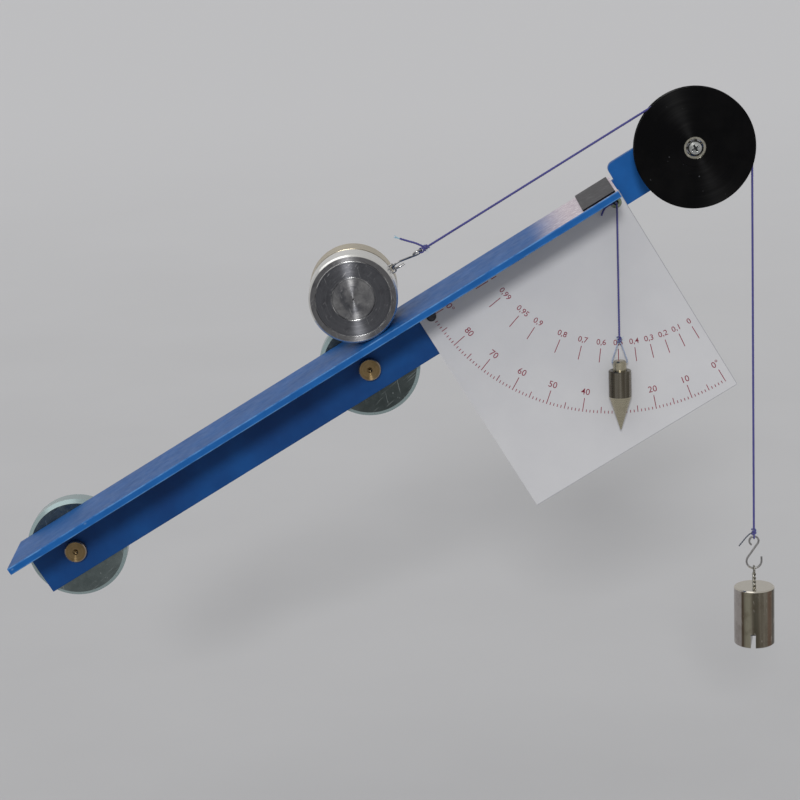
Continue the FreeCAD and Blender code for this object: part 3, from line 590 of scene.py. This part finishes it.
def mass_metal():
    """Plated steel cylinder with upright streaks and bands of painted reflection, brown tarnish, bright nicks
    and a painted highlight along the upper rim.
    """
    mat, tree, bsdf = shader("mass_steel")
    here = coords(tree, centre=tuple(MASS_TOP))
    parts = separate(tree, here)
    upright = coords(tree, (260, 260, 12), centre=tuple(MASS_TOP))
    bands = noise(tree, upright, 1.0, 4.0, 0.6)
    # Painted reflection: upright streaks of lighter and darker tone.
    tone = ramp(tree, bands,
                [(0.3, (0.14, 0.12, 0.085)), (0.5, (0.215, 0.19, 0.145)), (0.7, (0.31, 0.28, 0.225))])
    across = maths(tree, "MULTIPLY", parts[0], 1000)
    for low, high, soft, share, colour in MASS_REFLECTION_BANDS:
        band = maths(tree, "MULTIPLY", span_mask(tree, across, low, high, soft), share)
        tone = mix(tree, band, tone, colour)
    stains = ramp(tree, noise(tree, here, 140, 6.0, 0.7), [(0.48, 0.0), (0.7, 0.4)])
    tone = mix(tree, stains, tone, (0.09, 0.06, 0.035))
    # Painted highlight: a bright line along the upper rim; the nicks are real marks.
    rim = span_mask(tree, parts[2], -0.0007, 0.0001, 0.0001)
    nicks = scratches(tree, coords(tree, (700, 700, 90), turn=(0.3, 0.2, 0)), 1.0, 0.66, 0.7)
    bright = maths(tree, "MAXIMUM", rim, maths(tree, "MULTIPLY", nicks, 0.35))
    tone = mix(tree, bright, tone, (0.62, 0.58, 0.5))
    heights = [(bands, 0.000012), (noise(tree, here, 600, 3.0), 0.000008)]
    surface(tree, bsdf, tone, spread(tree, bands, 0.16, 0.26), heights, 1.0)
    return mat


def plain(name, low, high, rough, patch, fine, depth, sheen=0.0):
    """Non-metal surface with soft patches and fine bump."""
    mat, tree, bsdf = shader(name)
    here = coords(tree)
    tone = spread(tree, noise(tree, here, patch), low, high)
    dullness = spread(tree, noise(tree, here, patch * 3), rough * 0.8, rough * 1.2)
    surface(tree, bsdf, tone, dullness, [(noise(tree, here, fine, 3.0), depth)])
    bsdf.inputs["Sheen Weight"].default_value = sheen
    return mat


# The card's right and lower borders, in the rail's frame, along which a painted shadow line runs
CARD_RIGHT_LINE = 0.3674
CARD_LOWER_LINE = -0.1176


def card_white():
    """Satin pale card whose cut edge and thin borders on the right and below are darkened as painted shadow.
    """
    mat, tree, bsdf = shader("card_white")
    here = coords(tree)
    tone = spread(tree, noise(tree, here, 35), (0.475, 0.475, 0.49), (0.505, 0.505, 0.515))
    low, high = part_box("protractor_card")
    # Painted shadow: the cut edge, and thin lines along the right and lower borders, darkened.
    edge = span_mask(tree, separate(tree, here)[1], low[1] + 0.00008, high[1] - 0.00008, 0.00004)
    level = separate(tree, coords(tree, rail=True))
    border_shadow = maths(tree, "MAXIMUM", span_mask(tree, level[0], CARD_RIGHT_LINE, 0.38, 0.00005),
                   span_mask(tree, level[2], -0.13, CARD_LOWER_LINE, 0.00005))
    edge = maths(tree, "MAXIMUM", edge, maths(tree, "MULTIPLY", border_shadow, 0.6))
    tone = mix(tree, maths(tree, "MULTIPLY", edge, 0.75), tone, (0.10, 0.105, 0.12))
    rough = spread(tree, noise(tree, here, 105), 0.34, 0.5)
    surface(tree, bsdf, tone, rough, [(noise(tree, here, 1500, 3.0), 0.00001)])
    bsdf.inputs["Specular IOR Level"].default_value = 0.3
    return mat


def thread_material():
    """Violet-blue twisted thread with lighter fibres."""
    mat, tree, bsdf = shader("thread_violet")
    here = coords(tree)
    tone = ramp(tree, noise(tree, here, 2600, 3.0, 0.7),
                [(0.3, (0.018, 0.016, 0.09)), (0.55, (0.04, 0.036, 0.2)), (0.75, (0.10, 0.10, 0.36))])
    tree.links.new(tone, bsdf.inputs["Base Color"])
    bsdf.inputs["Roughness"].default_value = 0.75
    bsdf.inputs["Sheen Weight"].default_value = 0.3
    bump(tree, bsdf, [(noise(tree, here, 7000, 3.0), 0.00003)])
    return mat


def frayed_material():
    """Pale blue-green loose fibres at a thread's end."""
    return plain("thread_frayed", (0.16, 0.32, 0.42), (0.32, 0.52, 0.6), 0.8, 900, 6000, 0.00002, 0.3)


MAGNET_LOW = (0, 0, 0)
MAGNET_HIGH = rail_point(198, 0, 0)
MATERIALS = {
    "painted_blue": blue_paint(),
    "bracket_blue": bracket_paint(),
    "plate_steel": plate_metal(),
    "magnet_low": magnet_metal("magnet_low", MAGNET_LOW, 1.0),
    # Painted shade: the upper magnet uses the same material darkened to 0.55.
    "magnet_high": magnet_metal("magnet_high", MAGNET_HIGH, 0.55),
    "ferrite": plain("ferrite", (0.012, 0.012, 0.013), (0.03, 0.03, 0.031), 0.55, 260, 2400, 0.00003),
    "turned_brass": turned_brass(),
    "eyelet_brass": metal("eyelet_brass", (0.10, 0.14, 0.10), (0.28, 0.30, 0.2), 0.35, 900, stains=0.4),
    "card_white": card_white(),
    "dark_screw": metal("dark_screw", (0.02, 0.02, 0.024), (0.06, 0.06, 0.07), 0.35, 700),
    "print_red": plain("print_red", (0.16, 0.010, 0.028), (0.24, 0.018, 0.042), 0.5, 900, 4000, 0.000005),
    "plated_screw": metal("plated_screw", (0.34, 0.32, 0.29), (0.56, 0.54, 0.51), 0.28, 500, stains=0.4),
    "bearing_steel": metal("bearing_steel", (0.26, 0.25, 0.2), (0.42, 0.40, 0.34), 0.22, 500),
    "spacer_metal": metal("spacer_metal", (0.42, 0.42, 0.43), (0.62, 0.62, 0.63), 0.3, 220, (1, 60, 1), 60),
    "axle_head": axle_head(),
    "pulley_black": pulley_plastic(),
    "roller_alu": roller_metal(),
    "hook_wire": metal("hook_wire", (0.20, 0.195, 0.19), (0.44, 0.43, 0.42), 0.22, 900),
    "eye_wire": metal("eye_wire", (0.22, 0.21, 0.18), (0.44, 0.43, 0.39), 0.28, 900, stains=0.5),
    "mass_steel": mass_metal(),
    "bob_brass": bob_metal(),
    "thread_violet": thread_material(),
    "thread_frayed": frayed_material(),
    "thread_dark": plain("thread_dark", (0.03, 0.035, 0.05), (0.08, 0.09, 0.12), 0.7, 900, 6000, 0.00002),
    "thread_pale": plain("thread_pale", (0.15, 0.19, 0.30), (0.34, 0.40, 0.52), 0.75, 900, 6000, 0.00002),
}

NODE_MATERIALS = {
    "rail": "painted_blue", "pulley_bracket": "bracket_blue", "end_plate": "plate_steel",
    "magnet_cup_lower": "magnet_low", "magnet_cup_upper": "magnet_high",
    "magnet_core_lower": "ferrite", "magnet_core_upper": "ferrite", "clamp_screws": "turned_brass",
    "protractor_card": "card_white", "card_screw": "dark_screw", "plumb_eyelet": "eyelet_brass",
    "plumb_bob": "bob_brass", "bracket_screws": "plated_screw", "bracket_nuts": "plated_screw",
    "axle_spacer": "spacer_metal", "axle_screw": "axle_head", "axle_nut": "plated_screw",
    "axle_washer": "plated_screw", "bearing_inner_ring": "bearing_steel", "bearing_balls": "bearing_steel",
    "bearing_outer_ring": "bearing_steel", "pulley_wheel": "pulley_black", "roller": "roller_alu",
    "roller_wire_ring": "hook_wire", "roller_hook": "hook_wire", "mass_hook": "hook_wire",
    "mass_body": "mass_steel", "mass_pin": "dark_screw",
}


def dress_nodes():
    for name, material in NODE_MATERIALS.items():
        for slot in frame["nodes"][name].material_slots:
            slot.material = MATERIALS[material]


# Pieces

def new_piece(name, mesh, material, body, smooth=True):
    obj = bpy.data.objects.new(name, mesh)
    bpy.context.scene.collection.objects.link(obj)
    mesh.materials.append(MATERIALS[material])
    if smooth:
        mesh.polygons.foreach_set("use_smooth", [True] * len(mesh.polygons))
    if body:
        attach(obj, body)
    return obj


def smooth_line(points, steps=12):
    """Points along a NURBS spline with these control points."""
    curve = bpy.data.curves.new("route", "CURVE")
    curve.dimensions = "3D"
    spline = curve.splines.new("NURBS")
    spline.points.add(len(points) - 1)
    for target, point in zip(spline.points, points):
        target.co = (*point, 1.0)
    spline.order_u = 3
    spline.use_endpoint_u = True
    curve.resolution_u = steps
    holder = bpy.data.objects.new("route", curve)
    bpy.context.scene.collection.objects.link(holder)
    bpy.context.view_layer.update()
    mesh = bpy.data.meshes.new_from_object(holder)
    line = [v.co.copy() for v in mesh.vertices]
    bpy.data.objects.remove(holder)
    bpy.data.curves.remove(curve)
    bpy.data.meshes.remove(mesh)
    return line


def even(line, spacing):
    """The same line with points about spacing apart."""
    lengths = [0.0]
    for a, b in zip(line, line[1:]):
        lengths.append(lengths[-1] + (b - a).length)
    count = max(2, round(lengths[-1] / spacing))
    result = []
    k = 0
    for i in range(count + 1):
        want = lengths[-1] * i / count
        while k < len(line) - 2 and lengths[k + 1] < want:
            k += 1
        span = lengths[k + 1] - lengths[k]
        share = (want - lengths[k]) / span if span > 0 else 0
        result.append(line[k].lerp(line[k + 1], share))
    return result


def frames_along(line):
    """Points with two steady side vectors each."""
    side = None
    result = []
    for i, point in enumerate(line):
        ahead = (line[min(i + 1, len(line) - 1)] - line[max(i - 1, 0)]).normalized()
        if side is None:
            side = ahead.orthogonal().normalized()
        side = (side - ahead * side.dot(ahead)).normalized()
        result.append((point, side, ahead.cross(side)))
    return result


def twisted_tube(bm, line, radius, plies=3, lobe=0.16, pitch=0.0042, around=12, taper=0.0):
    """Tube whose section has one lobe for each ply and turns along the line; taper thins its end."""
    rings = []
    travelled = 0.0
    for i, (point, side, up) in enumerate(frames_along(line)):
        if i:
            travelled += (line[i] - line[i - 1]).length
        turn = 2 * math.pi * travelled / pitch
        share = 1 - taper * i / (len(line) - 1)
        ring = []
        for k in range(around):
            angle = 2 * math.pi * k / around
            r = radius * share * (1 - lobe + lobe * math.cos(plies * angle - turn * plies))
            ring.append(bm.verts.new(point + side * (r * math.cos(angle)) + up * (r * math.sin(angle))))
        rings.append(ring)
    for a, b in zip(rings, rings[1:]):
        for k in range(around):
            j = (k + 1) % around
            bm.faces.new((a[k], a[j], b[j], b[k]))
    bm.faces.new(list(reversed(rings[0])))
    bm.faces.new(rings[-1])


def mesh_from(name, build):
    bm = bmesh.new()
    build(bm)
    bmesh.ops.recalc_face_normals(bm, faces=bm.faces)
    mesh = bpy.data.meshes.new(name)
    bm.to_mesh(mesh)
    bm.free()
    return mesh


def thread_piece(name, points, body, node, diameter=THREAD):
    """Twisted thread along its route; it stands for one node."""
    line = even(smooth_line(points), 0.0006)
    mesh = mesh_from(name, lambda bm: twisted_tube(bm, line, diameter / 2))
    obj = new_piece(name, mesh, "thread_violet", body)
    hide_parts(node)
    return obj


# In the rail's frame, in millimetres: the plane and height of the thread, the far end of the roller's
# hook, counted from the roller over its ring and hook, and the point where the pulley takes the thread
THREAD_PLANE = -38.5
THREAD_HEIGHT = 44.9
HOOK_REACH = 216 + 29.4 + 11.8 + 2.6
RUN_START = rail_point(HOOK_REACH + 2.65 + 1.2, THREAD_PLANE, THREAD_HEIGHT)
RUN_END = rail_point(414.3, THREAD_PLANE, THREAD_HEIGHT)
# From a tied loop to its knot, and from each end of a straight run to the next point of its route
KNOT_FROM_LOOP = 0.00265
LEAD = 0.0084
# The roller's hook is turned by this angle about its length
HOOK_TWIST = 64.0

# The thread's corners round the pulley, in millimetres from its axle
WRAP_ROUTE = ((-15.55, 26.93), (-8.3, 31.1), (8.3, 31.1), (22.8, 22.8), (31.1, 8.3), (31.1, 0.0))


def threads():
    """The long thread in its three stretches, and the plumb line."""
    route = [RUN_START, RUN_START + ALONG * LEAD, RUN_END - ALONG * LEAD, RUN_END]
    run = thread_piece("thread_run_twist", route, None, "thread_run")
    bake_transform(run)
    route = [PULLEY + Vector((x / 1000, 0, z / 1000)) for x, z in WRAP_ROUTE]
    thread_piece("thread_wrap_twist", route, "root", "thread_wrap")
    top = PULLEY + Vector((WRAP_RADIUS, 0, 0))
    route = [top, top - Vector((0, 0, LEAD)), KNOT_TOP + Vector((0, 0, LEAD)), KNOT_TOP]
    drop = thread_piece("thread_drop_twist", route, None, "thread_drop")
    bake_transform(drop)
    route = [PIVOT + Vector((0, -0.00035, 0)), Vector((PIVOT.x, PLUMB_Y + 0.0012, PIVOT.z)),
             Vector((PIVOT.x, PLUMB_Y, PIVOT.z - 0.0002)), Vector((PIVOT.x, PLUMB_Y, PIVOT.z - 0.0024)),
             Vector((PIVOT.x, PLUMB_Y, PIVOT.z - 0.012)), Vector((PIVOT.x, PLUMB_Y, PIVOT.z - PLUMB_DROP))]
    thread_piece("plumb_line_twist", route, "plumb", "plumb_line", 0.0012)


def wound_knot(bm, centre, axis, radius, thick):
    """Two and a half turns of thread round the line, crossed by one loop: a tied knot."""
    side = axis.orthogonal().normalized()
    up = axis.cross(side)
    points = []
    for i in range(61):
        share = i / 60
        turn = share * 2.5 * 2 * math.pi
        along = (share - 0.5) * 2.1 * radius
        r = radius * (0.62 + 0.1 * math.sin(turn * 0.5))
        points.append(centre + axis * along + side * (r * math.cos(turn)) + up * (r * math.sin(turn)))
    twisted_tube(bm, points, thick / 2, pitch=0.003)
    cross = [centre + axis * (radius * a) + side * (radius * b) + up * (radius * c)
             for a, b, c in ((-1.0, 0.1, 0.2), (-0.5, 0.95, 0.35), (0.5, 0.95, -0.25), (1.0, 0.1, -0.1))]
    twisted_tube(bm, even(smooth_line(cross), 0.0003), thick / 2, pitch=0.003)
    core = bmesh.ops.create_icosphere(bm, subdivisions=2, radius=radius * 0.62)
    bmesh.ops.translate(bm, verts=core["verts"], vec=centre)


def eye_loop(bm, hook_point, through, radius, thick):
    """Loop of thread round a hook's wire."""
    side = through.orthogonal().normalized()
    up = through.cross(side)
    points = [hook_point + side * (radius * math.cos(a)) + up * (radius * math.sin(a))
              for a in (2 * math.pi * i / 40 for i in range(41))]
    twisted_tube(bm, points, thick / 2, pitch=0.003, around=8)


def fray(bm, end, ahead, count, length, most_lean, thick=0.00012):
    """Loose fibres that fan out from a thread's cut end."""
    side = ahead.orthogonal().normalized()
    up = ahead.cross(side)
    for _ in range(count):
        angle = random.uniform(0, 2 * math.pi)
        lean = random.uniform(0.1, most_lean)
        away = (ahead + (side * math.cos(angle) + up * math.sin(angle)) * lean).normalized()
        reach = length * random.uniform(0.55, 1.0)
        bend = side * random.uniform(-0.25, 0.25) + up * random.uniform(-0.25, 0.25)
        points = [end - ahead * 0.0006, end + away * reach * 0.4]
        points.append(end + (away + bend * 0.6).normalized() * reach * 0.75)
        points.append(end + (away + bend).normalized() * reach)
        twisted_tube(bm, smooth_line(points, 4), thick, 1, 0.0, 0.01, 5, 0.6)


def knots():
    """The two tied ends of the long thread, each with its loop, knot and tail."""
    twist = math.radians(HOOK_TWIST)
    through = (Vector((0, math.sin(twist), 0)) - NORMAL * math.cos(twist)).normalized()
    hook_end = rail_point(HOOK_REACH, THREAD_PLANE, THREAD_HEIGHT)
    knot_at = hook_end + ALONG * KNOT_FROM_LOOP
    tail = [knot_at] + [knot_at + ALONG * x + NORMAL * z for x, z in
                        ((-0.0014, 0.0024), (-0.0032, 0.0051), (-0.0062, 0.0083), (-0.0092, 0.0118))]
    tied_end("run_knot_tied", "run_knot", "carriage", hook_end, through, knot_at, ALONG, tail)
    fray_tail("run_tail_fray", "carriage", tail)
    knot_at = HOOK_TOP + Vector((0, 0, KNOT_FROM_LOOP))
    tail = [knot_at] + [knot_at + Vector((x, 0, z)) for x, z in
                        ((-0.002, -0.0008), (-0.004, -0.0026), (-0.006, -0.0050), (-0.0084, -0.0080))]
    tied_end("drop_knot_tied", "drop_knot", "hang_line", HOOK_TOP, Vector((1, 0, 0)), knot_at,
             Vector((0, 0, 1)), None)
    line = even(smooth_line(tail), 0.0004)
    thin = mesh_from("drop_tail", lambda bm: twisted_tube(bm, line, 0.00042, 2, 0.2, 0.003))
    new_piece("drop_tail", thin, "thread_dark", "hang_line")


def fray_tail(name, body, tail):
    """Pale loose fibres at the end of a tail."""
    line = even(smooth_line(tail), 0.0004)
    ahead = (line[-1] - line[-3]).normalized()
    ends = mesh_from(name, lambda bm: fray(bm, line[-1], ahead, 16, 0.0036, 0.2, 0.0002))
    new_piece(name, ends, "thread_frayed", body)


def tied_end(name, node, body, hook_point, through, knot_at, axis, tail):
    """Loop, knot and tail as one piece that stands for the node, and its fibres as another."""
    def build(bm):
        eye_loop(bm, hook_point, through, 0.00125, 0.001)
        wound_knot(bm, knot_at, axis, 0.00165, 0.001)
        if tail:
            twisted_tube(bm, even(smooth_line(tail), 0.0004), THREAD / 2 * 0.9)
    obj = new_piece(name, mesh_from(name, build), "thread_violet", body)
    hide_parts(node)
    hairs = mesh_from(name + "_hairs", lambda bm: [fray(bm, knot_at, d, 4, 0.0034, 0.9, 0.00008)
                                                  for d in (NORMAL, -NORMAL, ALONG)])
    new_piece(name + "_hairs", hairs, "thread_frayed", body)


def plumb_ends():
    """Knot and open loop at the bob, and the short tail at the eyelet."""
    top = PIVOT.z - PLUMB_DROP
    knot_at = Vector((PIVOT.x, PLUMB_Y, top - 0.0012))
    hole = top - 0.0145

    def legs(bm):
        for sign in (-1, 1):
            places = ((0.0016, top - 0.005), (0.0031, top - 0.0098), (0.0046, hole + 0.0004), (0.0030, hole),
                      (0.0005, hole))
            points = [knot_at] + [Vector((PIVOT.x + sign * x, PLUMB_Y, z)) for x, z in places]
            twisted_tube(bm, even(smooth_line(points), 0.0004), 0.0004, 2, 0.2, 0.002, 10)
    up = Vector((0, 0, 1))
    knot = mesh_from("plumb_knot_tied", lambda bm: wound_knot(bm, knot_at, up, 0.00165, 0.0009))
    obj = new_piece("plumb_knot_tied", knot, "thread_violet", "plumb")
    new_piece("plumb_loop", mesh_from("plumb_loop", legs), "thread_pale", "plumb")
    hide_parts("plumb_knot")
    hairs = mesh_from("plumb_knot_hairs", lambda bm: [fray(bm, knot_at, Vector(d), 5, 0.0036, 0.9, 0.00008)
                                                      for d in ((1, 0, 0), (-1, 0, 0.2), (0, -1, -0.5))])
    new_piece("plumb_knot_hairs", hairs, "thread_frayed", "plumb")
    points = [Vector((PIVOT.x + x, PLUMB_TAIL_Y, PIVOT.z + z)) for x, z in
              ((-0.0015, -0.0006), (-0.0038, -0.0012), (-0.0060, -0.0026), (-0.0074, -0.0048),
               (-0.0081, -0.0070))]
    line = even(smooth_line(points), 0.0004)
    mesh = mesh_from("plumb_tail_twist", lambda bm: twisted_tube(bm, line, 0.0006))
    tail = new_piece("plumb_tail_twist", mesh, "thread_violet", "root")
    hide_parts("plumb_tail")


def twisted_eye():
    """Two wires twisted into a stem, opened to a round eye at the top."""
    centre = MASS_TOP + Vector((0, 0, 0.008 + 0.0019))
    eye = 0.0019
    wire = 0.00045

    def build(bm):
        ring = [centre + Vector((0, eye * math.sin(a), eye * math.cos(a)))
                for a in (math.radians(200 * (i / 30) - 100) * 1.6 for i in range(31))]
        twisted_tube(bm, ring, wire, 1, 0.0, 0.01, 10)
        for phase in (0.0, math.pi):
            helix = []
            for i in range(97):
                share = i / 96
                angle = phase + share * 2.6 * 2 * math.pi
                r = 0.0006 + 0.00025 * max(0, share - 0.9) * 10
                z = MASS_TOP.z - 0.0035 + share * 0.0118
                helix.append(Vector((centre.x + r * math.sin(angle), centre.y + r * math.cos(angle), z)))
            twisted_tube(bm, helix, 0.00055, 1, 0.0, 0.01, 10)
    obj = new_piece("mass_eye_twist", mesh_from("mass_eye_twist", build), "eye_wire", "mass")
    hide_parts("mass_eye")


# Printed scales

# All in millimetres: the thickness of the print, and radii from the pivot
PRINT_LIFT = 0.03
TICK_WIDTH = 0.45
DEGREE_RADIUS = 120
DEGREE_LABELS = (108.5, 3.7)
SINE_TICKS = (82.8, 90.8)
SINE_LABELS = (79.3, 3.3)
SINES = (0, 0.1, 0.2, 0.3, 0.4, 0.5, 0.6, 0.7, 0.8, 0.9, 0.95, 0.99, 1)


def polar(angle, radius):
    """Point on the card face at a reading, seen from the pivot, in metres."""
    turn = math.radians(angle)
    return PIVOT - ALONG * (radius / 1000 * math.sin(turn)) - NORMAL * (radius / 1000 * math.cos(turn))


def tick(bm, angle, inner, outer, width):
    turn = math.radians(angle)
    outward = -ALONG * math.sin(turn) - NORMAL * math.cos(turn)
    across = outward.cross(TOWARDS) * (width / 2000)
    lift = TOWARDS * (PRINT_LIFT / 1000)
    corners = []
    for height in (0, 1):
        for radius, sign in ((inner, -1), (inner, 1), (outer, 1), (outer, -1)):
            place = PIVOT + outward * (radius / 1000) + across * sign + lift * height
            corners.append(bm.verts.new(place))
    faces = ((0, 1, 2, 3), (7, 6, 5, 4), (0, 4, 5, 1), (1, 5, 6, 2), (2, 6, 7, 3), (3, 7, 4, 0))
    for face in faces:
        bm.faces.new([corners[i] for i in face])


def print_ticks():
    def build(bm):
        for angle in range(0, 91):
            length = 8.0 if angle % 10 == 0 else 3.7 if angle % 5 == 0 else 1.6
            tick(bm, angle, DEGREE_RADIUS - length, DEGREE_RADIUS, TICK_WIDTH)
        for sine in SINES:
            tick(bm, math.degrees(math.asin(sine)), *SINE_TICKS, TICK_WIDTH)
    new_piece("scale_ticks", mesh_from("scale_ticks", build), "print_red", "root", False)


def label(text, angle, radius, height):
    """Number with its foot away from the pivot."""
    curve = bpy.data.curves.new("label", "FONT")
    curve.body = text
    curve.size = height / 1000 * 1.38
    curve.align_x = "CENTER"
    curve.align_y = "CENTER"
    curve.offset = 0.00002
    curve.extrude = PRINT_LIFT / 2000
    curve.resolution_u = 3
    holder = bpy.data.objects.new("label", curve)
    bpy.context.scene.collection.objects.link(holder)
    turn = math.radians(angle)
    up = ALONG * math.sin(turn) + NORMAL * math.cos(turn)
    right = ALONG * math.cos(turn) - NORMAL * math.sin(turn)
    basis = Matrix((right, up, TOWARDS)).transposed().to_4x4()
    place = polar(angle, radius) + TOWARDS * (PRINT_LIFT / 2000)
    bpy.context.view_layer.update()
    mesh = bpy.data.meshes.new_from_object(holder)
    mesh.transform(Matrix.Translation(place) @ basis)
    bpy.data.objects.remove(holder)
    bpy.data.curves.remove(curve)
    return mesh


def print_numbers():
    labels = []
    for angle in range(0, 91, 10):
        text = "%d°" % angle if angle in (0, 90) else str(angle)
        labels.append(label(text, angle, *DEGREE_LABELS))
    for sine in SINES:
        text = ("%g" % sine).replace(".", ",")
        labels.append(label(text, math.degrees(math.asin(sine)), *SINE_LABELS))
    bm = bmesh.new()
    for mesh in labels:
        bm.from_mesh(mesh)
        bpy.data.meshes.remove(mesh)
    mesh = bpy.data.meshes.new("scale_numbers")
    bm.to_mesh(mesh)
    bm.free()
    mesh.materials.clear()
    new_piece("scale_numbers", mesh, "print_red", "root", False)


# Studio

BACKDROP = (0.52, 0.52, 0.525)


def sun(name, towards, strength, angle):
    """Broad lamp at a distance; towards points from the object to the lamp."""
    lamp = bpy.data.lights.new(name, "SUN")
    lamp.energy = strength
    lamp.angle = math.radians(angle)
    obj = bpy.data.objects.new(name, lamp)
    obj.rotation_euler = Vector(towards).to_track_quat("Z", "Y").to_euler()
    bpy.context.scene.collection.objects.link(obj)


def pale_backdrop(tree, lit):
    """Pale grey for the camera, mirrors and glass, and the lit colour for everything else."""
    path = add(tree, "ShaderNodeLightPath")
    seen = maths(tree, "MAXIMUM", path.outputs["Is Camera Ray"], path.outputs["Is Glossy Ray"])
    seen = maths(tree, "MAXIMUM", seen, path.outputs["Is Transmission Ray"])
    return mix(tree, seen, lit, BACKDROP)


def floor():
    """Pale floor with painted shade: a touch darker near the object, paler far off."""
    mesh = mesh_from("floor", lambda bm: bmesh.ops.create_grid(bm, x_segments=1, y_segments=1, size=40))
    obj = bpy.data.objects.new("floor", mesh)
    obj.location = (0, 0, FLOOR_Z)
    bpy.context.scene.collection.objects.link(obj)
    mat, tree, bsdf = shader("floor_pale")
    here = coords(tree)
    # Painted shade: the floor's tone rises from near the object to far off.
    far = add(tree, "ShaderNodeMapRange", interpolation_type="SMOOTHSTEP")
    far.inputs["From Min"].default_value = -0.3
    far.inputs["From Max"].default_value = 4.0
    tree.links.new(separate(tree, here)[1], far.inputs["Value"])
    near_tone = spread(tree, noise(tree, here, 3), (0.48, 0.48, 0.483), (0.51, 0.51, 0.513))
    tone = mix(tree, far.outputs["Result"], near_tone, (0.58, 0.58, 0.585))
    tree.links.new(tone, bsdf.inputs["Base Color"])
    bsdf.inputs["Roughness"].default_value = 0.8
    bsdf.inputs["Specular IOR Level"].default_value = 0.1
    mesh.materials.append(mat)


def world():
    """Even pale surround, a little darker on the viewer's side as a room is."""
    place = bpy.data.worlds.new("surround")
    place.use_nodes = True
    tree = place.node_tree
    back = tree.nodes["Background"]
    where = add(tree, "ShaderNodeTexCoord")
    parts = separate(tree, where.outputs["Generated"])
    shade = ramp(tree, maths(tree, "ADD", maths(tree, "MULTIPLY", parts[1], 0.5), 0.5),
                 [(0.1, (0.44, 0.44, 0.45)), (0.75, (0.58, 0.58, 0.59))])
    tree.links.new(pale_backdrop(tree, shade), back.inputs["Color"])
    bpy.context.scene.world = place


def camera():
    lens = bpy.data.cameras.new("camera")
    lens.sensor_width = 36.0
    lens.lens = 108.0
    lens.clip_start = 0.05
    obj = bpy.data.objects.new("camera", lens)
    obj.location = (0.18565, -1.32812, 0.39401)
    obj.rotation_euler = [math.radians(a) for a in (76.5377, 2.2226, -0.6208)]
    bpy.context.scene.collection.objects.link(obj)
    bpy.context.scene.camera = obj


def studio():
    floor()
    world()
    camera()
    sun("key", (-0.1, -1.0, 0.40), 1.7, 9)
    sun("fill", (-0.6, -0.4, 1.0), 0.6, 50)
    bpy.context.scene.view_settings.view_transform = "Standard"


dress_nodes()
threads()
knots()
plumb_ends()
twisted_eye()
print_ticks()
print_numbers()
studio()
